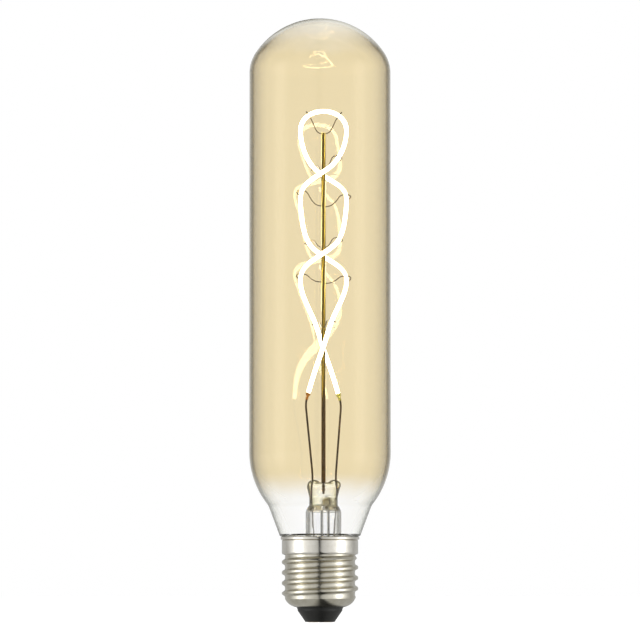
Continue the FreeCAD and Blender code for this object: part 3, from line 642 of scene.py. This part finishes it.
class LampEnvelope(bpy.types.Operator):
    """Blow the glass: crown, tube, shoulder, neck cone and neck in one wall"""
    bl_idname = "lamp.envelope"
    bl_label = "Glass Envelope"

    def execute(self, context):
        glass = context.scene.lamp_glass
        crown = glass.half + glass.crown_excess
        lean = math.asin((glass.half - glass.knuckle) / (crown - glass.knuckle))
        knuckle_height = glass.top - crown + (crown - glass.knuckle) * math.cos(lean)
        reach = glass.shoulder + glass.throat
        throat_radius = glass.half - glass.shoulder + reach * math.cos(glass.shoulder_slope)
        throat_height = glass.shoulder_height - reach * math.sin(glass.shoulder_slope)
        outline = Outline(0, glass.top)
        outline.arc(0, glass.top - crown, lean, 20)
        outline.arc(glass.half - glass.knuckle, knuckle_height, math.pi / 2 - lean, 16)
        outline.line(glass.half, glass.shoulder_height, 12)
        outline.arc(glass.half - glass.shoulder, glass.shoulder_height, glass.shoulder_slope, 16)
        outline.arc(throat_radius, throat_height, glass.neck_slope - glass.shoulder_slope, 6)
        cone = outline.tip.co
        cone_foot = cone.x - (cone.z - glass.rim) * math.tan(glass.neck_slope)
        outline.lines((cone_foot, glass.rim, 2), (glass.neck, glass.rim - glass.neck_tuck, 2),
                      (glass.neck, NECK_END, 2))
        bm = outline.turned(glass.turns)
        wall = bmesh.ops.solidify(bm, geom=bm.faces[:], thickness=glass.wall)
        for face in wall["geom"]:
            if isinstance(face, bmesh.types.BMFace):
                face.material_index = 1
        publish(bm, "blown_envelope", "tinted_glass", "glass_envelope",
                blown_glass_outside(glass), amber_lustre_inside(glass))
        return {"FINISHED"}


FLARE = [
    # share of the way up, of the closing-in and of the move to the stem's own axis
    (0.0, 0.0, 0.0), (0.06, 0.24, 0.15), (0.12, 0.42, 0.3), (0.2, 0.58, 0.45), (0.3, 0.7, 0.6),
    (0.45, 0.82, 0.78), (0.6, 0.9, 0.9), (0.8, 0.97, 0.97), (1.0, 1.0, 1.0),
]
HOLLOW_CEILING = [
    # share of the hollow's half width and depth, and millimetres below its top
    (0.3, 0.0), (0.75, 0.02), (0.95, 0.2),
]
LOBE_PLACE = 0.86  # share of the lead's distance from the axis
LOBE_STRETCH = (1.25, 1.0, 1.9)  # the first two of the lobe's radius, the last of its rise
HOLE_BUBBLES = [
    # millimetres beside the exhaust tube's axis, along Y and over its top, and share of the
    # hole's radius
    (0.0, -0.1, 0.5, 0.8), (0.3, -0.9, 1.4, 0.9), (-0.8, -1.5, 1.0, 0.6), (0.9, -1.6, 2.4, 0.55),
    (0.1, -2.6, 1.9, 0.7),
]


class LampStem(bpy.types.Operator):
    """Melt the stem: flare, tube, pinched press with lobes and blown hole, and exhaust tube"""
    bl_idname = "lamp.stem"
    bl_label = "Glass Stem"

    def flare_rings(self, bm, glass, stem, inset, low):
        rim = glass.neck - stem.wall
        rings = []
        for climb, closing, shift in FLARE:
            radius = rim + (stem.flare - rim) * closing - inset
            height = low + (stem.flare_top - low) * climb
            rings.append(ring(bm, radius, radius, height, ROD_X * shift))
        return rings

    def execute(self, context):
        scene = context.scene
        glass, stem, wires = scene.lamp_glass, scene.lamp_stem, scene.lamp_wires
        low = NECK_END - stem.wall
        inner = stem.flare - stem.wall
        bm = bmesh.new()
        rings = [ring(bm, stem.hollow_width * share, stem.hollow_depth * share,
                      PRESS_FLOOR - drop * MM, ROD_X)
                 for share, drop in HOLLOW_CEILING]
        rings.append(ring(bm, inner, inner, stem.press_foot, ROD_X))
        rings += self.flare_rings(bm, glass, stem, stem.wall, low)[::-1]
        for tuck, height in ((0.25, low + 0.2 * MM), (0.0, low + 0.45 * MM),
                             (0.0, NECK_END - 0.2 * MM)):
            rings.append(ring(bm, glass.neck - tuck * MM, glass.neck - tuck * MM, height, 0))
        rings += self.flare_rings(bm, glass, stem, 0, NECK_END)
        for half_width, half_depth, height in (
                (stem.flare, stem.flare, stem.press_foot),
                (stem.flare * 0.9, stem.shelf_depth * 1.3,
                 stem.press_foot + stem.shelf_rise * 0.55),
                (stem.waist, stem.shelf_depth, stem.press_foot + stem.shelf_rise),
                (stem.waist, stem.depth, stem.press_foot + stem.waist_rise),
                (stem.head, stem.depth, stem.top - stem.head_drop),
                (stem.head * 0.96, stem.depth * 0.9, stem.top - stem.head_drop * 0.35),
                (stem.head * 0.8, stem.depth * 0.7, stem.top - 0.2 * MM),
                (stem.head * 0.3, stem.depth * 0.3, stem.top)):
            rings.append(ring(bm, half_width, half_depth, height, ROD_X))
        loft(bm, rings)
        for side in SIDES:
            beside = (lead_x(wires, side) - ROD_X) * LOBE_PLACE
            lobe = Matrix.Translation((ROD_X + beside, 0, stem.top - stem.lobe_rise))
            wide, deep, high = LOBE_STRETCH
            stretch = (stem.lobe * wide, stem.lobe * deep, stem.lobe_rise * high, 1)
            bmesh.ops.create_uvsphere(bm, u_segments=24, v_segments=16, radius=1,
                                      matrix=lobe @ Matrix.Diagonal(stretch))
        publish(self.melted(bm, stem), "pressed_stem", "clear_glass", "stem_glass",
                stem_glass(stem))
        self.make_exhaust(stem)
        return {"FINISHED"}

    def melted(self, bm, stem):
        """Cuts the blown hole and fuses everything with melted edges."""
        body = bpy.data.objects.new("stem_rough", to_mesh(bm, "stem_rough"))
        bm = bmesh.new()
        for beside, along, rise, size in HOLE_BUBBLES:
            place = Matrix.Translation((TUBE_X + beside * MM, along * MM, PRESS_FLOOR + rise * MM))
            bmesh.ops.create_icosphere(bm, subdivisions=3, radius=stem.hole * size, matrix=place)
        hole = bpy.data.objects.new("hole_rough", to_mesh(bm, "hole_rough"))
        for rough in (body, hole):
            bpy.context.scene.collection.objects.link(rough)
            rough.modifiers.new("fuse", "REMESH").voxel_size = stem.grain
        cut = body.modifiers.new("cut", "BOOLEAN")
        cut.object = hole
        melt = body.modifiers.new("melt", "REMESH")
        melt.voxel_size = stem.grain
        smooth = body.modifiers.new("smooth", "SMOOTH")
        smooth.factor = 0.5
        smooth.iterations = 8
        bpy.context.view_layer.update()
        graph = bpy.context.evaluated_depsgraph_get()
        mesh = bpy.data.meshes.new_from_object(body.evaluated_get(graph))
        for rough in (body, hole):
            bpy.data.objects.remove(rough)
        return mesh

    def make_exhaust(self, stem):
        waist = TUBE_TIP + stem.exhaust * 1.3
        outline = Outline(0, TUBE_TIP)
        outline.line(stem.exhaust / 2, TUBE_TIP + 0.15 * MM, 2)
        outline.arc(0, TUBE_TIP + stem.exhaust * 1.1, math.radians(-55), 6)
        outline.lines((stem.exhaust, waist), (stem.exhaust, PRESS_FLOOR, 4),
                      (stem.exhaust_bore, PRESS_FLOOR), (stem.exhaust_bore, waist, 4),
                      (0, TUBE_TIP + stem.exhaust, 3))
        publish(outline.turned(48, TUBE_X), "pumping_tube", "clear_glass", "exhaust_tube",
                capillary_glass())


# In the press the rod was pulled thin while the glass was soft, with a few twists left in it:
# millimetres below the press's top, and share of the rod's radius.
ROD_TWISTS = ((0.5, 0.8), (1.0, 0.55), (1.5, 0.82), (2.0, 0.55), (2.6, 0.78), (3.2, 0.5))


class LampRod(bpy.types.Operator):
    """Draw the support rod with its rounded top"""
    bl_idname = "lamp.rod"
    bl_label = "Support Rod"

    def execute(self, context):
        low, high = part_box("support_rod")
        radius = (high.x - low.x) / 2
        stem = context.scene.lamp_stem
        outline = Outline(0, ROD_TOP)
        outline.line(radius * 0.5, ROD_TOP, 2)
        outline.arc(radius * 0.5, ROD_TOP - radius * 0.5, math.pi / 2, 8)
        outline.line(radius, stem.top + 0.2 * MM, 24)
        outline.lines(*((radius * width, stem.top - drop * MM, 2) for drop, width in ROD_TWISTS),
                      (radius * 0.4, ROD_FOOT, 2), (0, ROD_FOOT, 2))
        publish(outline.turned(32, ROD_X), "drawn_rod", "rod_steel", "support_rod",
                browned_rod_steel())
        return {"FINISHED"}


CLIP_SECTIONS = [
    # share along the clip, half width and half depth as shares of the clip's radius
    (0.0, 0.9, 0.9), (0.05, 1.0, 1.0), (0.35, 1.0, 0.95), (0.45, 1.0, 0.6), (0.7, 1.0, 0.5),
    (0.8, 0.75, 0.6), (0.97, 0.7, 0.6), (1.0, 0.6, 0.5),
]


class LampStrip(bpy.types.Operator):
    """Bend the glowing strip over its arch and crimp a clip on each end"""
    bl_idname = "lamp.strip"
    bl_label = "Light Strip"

    def execute(self, context):
        strip = context.scene.lamp_strip
        mesh = wire_mesh(strip_line(strip), strip.radius, sides=6, order=4, resolution=1)
        publish(mesh, "glowing_strip", "light_strip", "led_filament", phosphor_silicone(strip))
        # Brass clips, crimped: the left one browned by the weld, the right one yellow-green with
        # phosphor.
        browned = drawn_metal("brass_clip_browned", "#7A4A14", "#C98A34", 0.3, 0.8)
        dusted = drawn_metal("brass_clip_dusted", "#A8A434", "#DCDC7C", 0.45, 0.8)
        for side, start, finish in zip(SIDES, (FRONT, BACK), (browned, dusted)):
            self.make_clip(strip, side, start, finish)
        return {"FINISHED"}

    def make_clip(self, strip, side, start, brass):
        """A sleeve pinched flat between the strip and the lead."""
        end = strip_point(strip, "strand", 0, start)
        down = strip_direction(strip, "strand", 0, start)
        bm = bmesh.new()
        loft(bm, [ring(bm, strip.clip * width, strip.clip * depth, along * strip.clip_length, 0,
                       sides=24)
                  for along, width, depth in CLIP_SECTIONS])
        turn = AXIS.rotation_difference(down).to_matrix().to_4x4()
        bmesh.ops.transform(bm, matrix=Matrix.Translation(end) @ turn, verts=bm.verts)
        publish(bm, f"crimped_clip_{side}", "clip_steel", f"filament_clip_{side}", brass)


class LampLeads(bpy.types.Operator):
    """Draw the inner leads, the wires sealed in the press and the slack outer leads"""
    bl_idname = "lamp.leads"
    bl_label = "Leads"

    def execute(self, context):
        scene = context.scene
        strip, stem, wires = scene.lamp_strip, scene.lamp_stem, scene.lamp_wires
        # Nickel wire, drawn and heated: dark brown-grey with a dull sheen.
        nickel = drawn_metal("nickel_wire_heated", "#2A1C02", "#4C380C", 0.45, 2.0)
        # Copper-clad wire, oxidised in the seal: brick red to purple.
        seal = drawn_metal("copper_clad_wire_oxidised", "#3E2A1A", "#6A4C38", 0.4, 1.0)
        # Tinned copper wire: grey with a soft gloss.
        tinned = drawn_metal("tinned_copper_wire", "#6E6A64", "#9A958C", 0.35, 1.5)
        for side, start in zip(SIDES, (FRONT, BACK)):
            x = lead_x(wires, side)
            down = strip_direction(strip, "strand", 0, start)
            tip = strip_point(strip, "strand", 0, start) + down * strip.clip_length
            lobe_top = stem.top + stem.lobe_rise
            knee = Vector((x, 0, lobe_top + wires.stub))
            elbow = tip + down * strip.clip_lap
            route = [(x, 0, wires.weld), (x, 0, lobe_top), knee, knee.lerp(elbow, 0.25),
                     knee.lerp(elbow, 0.8), elbow, tip]
            publish(wire_mesh(route, wires.lead), f"inner_lead_drawn_{side}", "nickel_wire",
                    f"inner_lead_{side}", nickel)
            sealed = [(x, 0, PRESS_FLOOR), (x, 0, wires.weld)]
            publish(wire_mesh(sealed, wires.seal, order=2), f"seal_wire_drawn_{side}",
                    "seal_copper", f"seal_wire_{side}", seal)
            shifts = WANDER[side]
            step = (wires.board - PRESS_FLOOR) / (len(shifts) - 1)
            slack = [(x + shift * MM, 0, PRESS_FLOOR + step * number)
                     for number, shift in enumerate(shifts)]
            publish(wire_mesh(slack, wires.outer), f"outer_lead_drawn_{side}", "copper_wire",
                    f"outer_lead_{side}", tinned)
        return {"FINISHED"}


HOOK = [
    # the bend round the strip: across it and outwards, as shares of the wire's distance
    (1, 0), (1, 1), (0, 1.6), (-1, 1), (-1, -1 / 3),
]


class LampSupports(bpy.types.Operator):
    """Weld the thin wires to the rod and hook each round its strand"""
    bl_idname = "lamp.supports"
    bl_label = "Support Wires"

    def execute(self, context):
        strip, wires = context.scene.lamp_strip, context.scene.lamp_wires
        low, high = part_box("support_rod")
        rod = (high.x - low.x) / 2
        # Thin steel wire, browned by the weld: dark, with a dull gleam.
        steel = drawn_metal("steel_wire_browned", "#1C1406", "#3A2C14", 0.4, 1.0)
        for name, start, stretch, share, drop in SUPPORTS:
            middle = strip_point(strip, stretch, share, start)
            along = strip_direction(strip, stretch, share, start)
            radial = Vector((middle.x - ROD_X, middle.y, 0))
            out = radial.normalized()
            outward = (out - along * out.dot(along)).normalized()
            aside = along.cross(outward).normalized()
            if aside.z < 0:
                aside = -aside
            reach = strip.radius + wires.support + wires.hook_gap
            weld = min(middle.z - drop * MM, ROD_TOP - 2 * wires.support)
            foot = Vector((ROD_X, 0, weld)) + out * rod
            entry = middle + aside * reach - outward * 2 * reach
            sag = AXIS * (entry.z - weld) * wires.sag
            route = [foot, foot.lerp(entry, 0.3) - sag, foot.lerp(entry, 0.7) - sag, entry]
            route += [middle + (aside * across + outward * out_by) * reach
                      for across, out_by in HOOK]
            publish(wire_mesh(route, wires.support), f"hook_wire_{name}", "support_steel",
                    f"support_wire_{name}", steel)
        return {"FINISHED"}


CAP_CONE = [
    # share of the way out and up, from the mouth to the thread's root: bowed, as spun in
    (0.0, 0.0), (0.25, 0.09), (0.5, 0.25), (0.72, 0.47), (0.9, 0.75), (1.0, 1.0),
]
CAP_LIP = [
    # share of the lip's flare and of its height: a crease, then a rolled bead
    (-0.9, 0.08), (0.5, 0.16), (0.95, 0.26), (1.0, 0.4), (1.0, 0.82), (0.8, 0.93), (0.1, 1.0),
]
ROUNDING = 0.28  # how much of a plain wave is in the thread's section


class LampCap(bpy.types.Operator):
    """Roll the cap from sheet: cone, screw thread, collar and lip"""
    bl_idname = "lamp.cap"
    bl_label = "Screw Cap"

    def execute(self, context):
        cap = context.scene.lamp_cap
        outline = Outline(cap.mouth, cap.thread_foot - cap.cone)
        for out, up in CAP_CONE:
            outline.line(cap.mouth + (cap.root - cap.mouth) * out,
                         cap.thread_foot - cap.cone * (1 - up), 3)
        outline.lines((cap.root, cap.thread_top, 180),
                      (cap.skirt - 0.2 * MM, cap.thread_top + 0.25 * MM, 4),
                      (cap.skirt, cap.thread_top + 0.55 * MM, 3),
                      (cap.skirt, cap.lip_top - cap.lip_height - 0.15 * MM, 8))
        for out, up in CAP_LIP:
            outline.line(cap.skirt + (cap.lip - cap.skirt) * out,
                         cap.lip_top - cap.lip_height * (1 - up), 2)
        bm = outline.turned(cap.turns)
        for vert in bm.verts:
            radius = math.hypot(vert.co.x, vert.co.y)
            height = vert.co.z
            if not cap.thread_foot < height < cap.thread_top:
                continue
            climbed = (height - cap.thread_foot) / cap.pitch
            turns = climbed - math.atan2(vert.co.y, vert.co.x) / math.tau
            fade = min(1, 2 * climbed, 2 * (cap.thread_top - height) / cap.pitch)
            off = abs((turns + 0.5) % 1 - 0.5) * cap.pitch
            rise = min(1, max(0, (cap.ridge - 2 * off) / (cap.ridge - cap.ridge_top)))
            rolled = ((1 - ROUNDING) * rise * rise * (3 - 2 * rise)
                      + ROUNDING * (0.5 + 0.5 * math.cos(math.tau * turns)))
            grown = cap.root + (cap.crest - cap.root) * fade * rolled
            vert.co.x *= grown / radius
            vert.co.y *= grown / radius
        bmesh.ops.solidify(bm, geom=bm.faces[:], thickness=cap.sheet)
        publish(bm, "rolled_cap", "cap_nickel", "cap_shell", nickel_plated_steel(cap))
        return {"FINISHED"}


class LampCapFoot(bpy.types.Operator):
    """Mould the insulator, press in the contact and solder it"""
    bl_idname = "lamp.cap_foot"
    bl_label = "Insulator and Contact"

    def execute(self, context):
        cap = context.scene.lamp_cap
        self.make_insulator(cap)
        self.make_contact(cap)
        return {"FINISHED"}

    def make_insulator(self, cap):
        inside = cap.mouth - cap.sheet
        outline = Outline(cap.wire_hole, cap.contact_wall)
        outline.lines((cap.contact, cap.contact_wall, 2), (cap.contact, cap.face),
                      (cap.foot - 0.1 * MM, cap.face, 2), (cap.foot, cap.face + 0.1 * MM),
                      (cap.taper, cap.taper_height, 3),
                      (cap.bulge, cap.bulge_height - 0.2 * MM, 4),
                      (cap.bulge, cap.bulge_height + 0.2 * MM),
                      (inside, cap.thread_foot - cap.cone, 3),
                      (inside + 1.2 * MM, cap.insulator_top, 2),
                      (cap.wire_hole, cap.insulator_top, 3),
                      (cap.wire_hole, cap.contact_wall, 2))
        # Black cap glass, moulded: deep black with a soft satin skin.
        vitrite = grained("vitrite_black", "#0D0D0B", "#161614", 0.6, 0.02,
                          {"Roughness": 0.42, "IOR": 1.52}, spread=0.2)
        publish(outline.turned(96), "moulded_insulator", "insulator_black", "cap_insulator",
                vitrite)

    def make_contact(self, cap):
        edge = cap.contact_wall / 4
        outline = Outline(cap.contact_hole, edge)
        outline.arc(cap.contact_hole + edge, edge, math.radians(-90), 4)
        outline.lines((cap.contact - edge, 0, 4), (cap.contact, edge),
                      (cap.contact, cap.contact_wall), (cap.contact_hole, cap.contact_wall, 2),
                      (cap.contact_hole, edge))
        # Brass sheet, stamped: yellow with a soft haze from handling.
        brass = drawn_metal("brass_sheet_stamped", "#B08D45", "#D2B068", 0.25, 1.2)
        publish(outline.turned(64), "stamped_contact", "contact_brass", "centre_contact", brass)
        outline = Outline(0, 0)
        outline.lines((cap.contact_hole * 0.7, 0.02 * MM, 3), (cap.contact_hole, 0.2 * MM, 2),
                      (cap.contact_hole, cap.contact_wall, 2), (0, cap.contact_wall, 2))
        # Tin solder, set from a drop: bright grey with a frosty grain.
        solder = drawn_metal("tin_solder_frosted", "#8E9092", "#B9BBBC", 0.32, 0.4)
        publish(outline.turned(32), "solder_drop", "solder_tin", "contact_solder", solder)


HIDDEN_FINISHES = [
    # nodes, the material, its two shades, its grain and relief in millimetres, its roughness
    # Cap cement, baked: sandy beige and matt.
    (["cap_cement"], "cap_cement_baked", "#A99C82", "#C6BBA2", 0.5, 0.05, 0.95),
    # Glass-fibre laminate under green solder mask: satin with a faint weave.
    (["driver_board"], "laminate_solder_mask", "#1E4A2B", "#2A6038", 0.8, 0.01, 0.4),
    # Epoxy, moulded: near black and fine-grained.
    (["bridge_rectifier", "current_regulator"],
     "epoxy_moulded_black", "#141414", "#202020", 0.15, 0.01, 0.55),
    # Shrunk vinyl sleeve: dark blue with a soft gloss.
    (["smoothing_capacitor"], "vinyl_sleeve_shrunk", "#14182A", "#1D2340", 1.5, 0.01, 0.3),
    # Cement-coated ceramic: grey-green and matt.
    (["fuse_resistor"], "ceramic_coated", "#6E7C66", "#88957F", 0.3, 0.02, 0.8),
]


class LampDriver(bpy.types.Operator):
    """Finish the driver board's parts and the cement, which keep their own shapes"""
    bl_idname = "lamp.driver"
    bl_label = "Driver and Cement"

    def execute(self, context):
        finishes = [(nodes, grained(*look, {"Roughness": roughness}))
                    for nodes, *look, roughness in HIDDEN_FINISHES]
        finishes.append((["contact_wire", "shell_wire"], bpy.data.materials["tinned_copper_wire"]))
        for nodes, material in finishes:
            for node in nodes:
                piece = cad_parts[node]
                piece.data.materials.clear()
                piece.data.materials.append(material)
        return {"FINISHED"}


STUDIO_WALLS = {
    # degrees round from the camera's side, either way, and how bright the wall there is
    2: 0.3, 5: 0.56, 9: 0.66, 24: 0.84, 37: 1.02, 49: 1.25, 57: 2.1, 63: 3.0, 74: 3.0, 80: 2.0,
    87: 1.35, 96: 0.95, 106: 0.7, 120: 0.5, 150: 0.55, 172: 0.5,
}
WALL_BLUE = 0.985  # the walls are a little warm
# The gap between the walls in front of the lamp. Its half width and its place beside the middle
# each have a value at eye height and a growth with the rise of the reflected ray.
GAP_HALF, GAP_WIDENING = 0.04, 0.2
GAP_PLACE, GAP_LEAN = 0.03, 0.15
GAP_EDGE = (0.5, 1.2)  # shares of its half width between which it turns into wall
GAP_GLOW = 0.06
ENDS_RISE = (0.1, 0.55)  # between these the walls give way to floor and ceiling
FLOOR_HALF = 3.0  # metres, like the softboxes below
FLOOR_LIFT = 0.45  # glow that the eye sees, so that the floor meets the backdrop in white
SOFTBOX_SIZE = (0.5, 1.0)
SOFTBOX_PLACE = (0.9, -0.55, 0.45)
BOUNCES = 24  # the light crosses up to a dozen glass faces and back


class LampStage(bpy.types.Operator):
    """Set the floor, the studio and the camera at the photograph's angle"""
    bl_idname = "lamp.stage"
    bl_label = "Studio"

    def execute(self, context):
        scene, stage = context.scene, context.scene.lamp_stage
        scene.view_settings.view_transform = "Standard"
        scene.cycles.max_bounces = BOUNCES
        scene.cycles.transmission_bounces = BOUNCES
        scene.cycles.glossy_bounces = BOUNCES // 2
        self.make_world(scene, stage)
        self.make_floor()
        self.make_softboxes(stage)
        self.make_camera(scene, stage)
        return {"FINISHED"}

    def make_world(self, scene, stage):
        """White behind the lamp and through its glass; a studio with a dark gap in its mirror."""
        scene.world = bpy.data.worlds.new("studio")
        scene.world.use_nodes = True
        tree = scene.world.node_tree
        tree.nodes.clear()
        way = add_node(tree, "TexCoord").outputs["Generated"]
        x, y, z = add_node(tree, "SeparateXYZ", {"Vector": way}).outputs
        front = add_node(tree, "Math", {0: y, 1: -1.0}, operation="MULTIPLY")
        turn = add_node(tree, "Math", {0: x, 1: front}, operation="ARCTAN2")
        share = add_node(tree, "MapRange", {
            "Value": turn, "From Min": -math.pi, "From Max": math.pi})
        peak = max(STUDIO_WALLS.values())
        stops = {0.5 + side * degrees / 360: (glow / peak, glow / peak, glow * WALL_BLUE / peak, 1)
                 for side in (-1, 1) for degrees, glow in STUDIO_WALLS.items()}
        walls = add_node(tree, "ValToRGB", {"Fac": share}, stops=dict(sorted(stops.items())))
        rise = add_node(tree, "Math", {0: z}, operation="ABSOLUTE")
        half = add_node(tree, "Math", {0: rise, 1: GAP_WIDENING, 2: GAP_HALF},
                        operation="MULTIPLY_ADD")
        lean = add_node(tree, "Math", {0: z, 1: GAP_LEAN, 2: GAP_PLACE},
                        operation="MULTIPLY_ADD")
        moved = add_node(tree, "Math", {0: x, 1: lean}, operation="ADD")
        beside = add_node(tree, "Math", {0: moved}, operation="ABSOLUTE")
        across = add_node(tree, "Math", {0: beside, 1: half}, operation="DIVIDE")
        gap = add_node(tree, "MapRange", {
            "Value": across, "From Min": GAP_EDGE[0], "From Max": GAP_EDGE[1],
            "To Min": GAP_GLOW})
        ends = add_node(tree, "MapRange", {
            "Value": rise, "From Min": ENDS_RISE[0], "From Max": ENDS_RISE[1]})
        wall_light, end_light = [
            add_node(tree, "Math", {0: gap, 1: glow}, operation="MULTIPLY")
            for glow in (peak, stage.ends)]
        white, upright, level, dull = [
            add_node(tree, "Background", {"Color": shade, "Strength": strength})
            for shade, strength in ((linear("#FFFFFF"), 1.0), (walls, wall_light),
                                    (linear("#FFFFFB"), end_light),
                                    (linear("#FFFFFF"), stage.fill))]
        glossy = add_node(tree, "LightPath").outputs["Is Glossy Ray"]
        mirrored = add_node(tree, "MixShader", {"Fac": ends, 1: upright, 2: level})
        lit = add_node(tree, "MixShader", {"Fac": glossy, 1: dull, 2: mirrored})
        shown = add_node(tree, "MixShader", {
            "Fac": seen_straight(tree), 1: lit, 2: white})
        add_node(tree, "OutputWorld", {"Surface": shown})

    def make_floor(self):
        bm = bmesh.new()
        bmesh.ops.create_grid(bm, x_segments=1, y_segments=1, size=FLOOR_HALF)
        floor = bpy.data.objects.new("floor", to_mesh(bm, "floor"))
        bpy.context.scene.collection.objects.link(floor)
        # White paper, matt.
        material, tree, shader = new_material("paper_white_matt", {
            "Base Color": linear("#F4F4F4"), "Roughness": 0.9,
            "Emission Color": linear("#FFFFFF")})
        plug(shader, {"Emission Strength": add_node(tree, "Math", {
            0: seen_straight(tree), 1: FLOOR_LIFT}, operation="MULTIPLY")})
        floor.data.materials.append(material)
        floor.visible_glossy = False

    def make_softboxes(self, stage):
        for side in (-1, 1):
            light = bpy.data.lights.new("softbox", "AREA")
            light.shape = "RECTANGLE"
            light.size, light.size_y = SOFTBOX_SIZE
            light.energy = stage.softbox
            box = bpy.data.objects.new("softbox", light)
            bpy.context.scene.collection.objects.link(box)
            box.location = (side * SOFTBOX_PLACE[0], *SOFTBOX_PLACE[1:])
            aim = Vector((0, 0, stage.aim)) - box.location
            box.rotation_euler = aim.to_track_quat("-Z", "Y").to_euler()
            box.visible_camera = box.visible_glossy = box.visible_transmission = False

    def make_camera(self, scene, stage):
        camera = bpy.data.cameras.new("camera")
        holder = bpy.data.objects.new("camera", camera)
        scene.collection.objects.link(holder)
        rise = stage.aim - stage.eye
        holder.location = (0, -stage.distance, stage.eye)
        holder.rotation_euler = (math.pi / 2 + math.atan2(rise, stage.distance), 0, 0)
        camera.sensor_width = 36
        camera.lens = camera.sensor_width * math.hypot(stage.distance, rise) / stage.view
        camera.clip_start = 0.01
        camera.clip_end = 20
        scene.camera = holder


class LampPanel(bpy.types.Panel):
    """The lamp's pieces and settings"""
    bl_idname = "VIEW3D_PT_lamp"
    bl_label = "Tubular Lamp"
    bl_space_type = "VIEW_3D"
    bl_region_type = "UI"
    bl_category = "Lamp"

    def draw(self, context):
        for operator in OPERATORS:
            self.layout.operator(operator.bl_idname)
        for name in SETTINGS:
            box = self.layout.box()
            group = getattr(context.scene, name)
            for setting in group.__annotations__:
                box.prop(group, setting)


SETTINGS = {
    "lamp_glass": LampGlassSettings, "lamp_stem": LampStemSettings,
    "lamp_strip": LampStripSettings, "lamp_wires": LampWireSettings,
    "lamp_cap": LampCapSettings, "lamp_stage": LampStageSettings,
}
OPERATORS = [
    LampEnvelope, LampStem, LampRod, LampStrip, LampLeads, LampSupports, LampCap, LampCapFoot,
    LampDriver, LampStage,
]


def register():
    for group in SETTINGS.values():
        bpy.utils.register_class(group)
    for name, group in SETTINGS.items():
        setattr(bpy.types.Scene, name, PointerProperty(type=group))
    for part in OPERATORS + [LampPanel]:
        bpy.utils.register_class(part)


def unregister():
    for part in reversed(OPERATORS + [LampPanel]):
        bpy.utils.unregister_class(part)
    for name, group in reversed(SETTINGS.items()):
        delattr(bpy.types.Scene, name)
        bpy.utils.unregister_class(group)


def main():
    register()
    for operator in OPERATORS:
        family, name = operator.bl_idname.split(".")
        getattr(getattr(bpy.ops, family), name)()


if __name__ == "__main__":
    main()
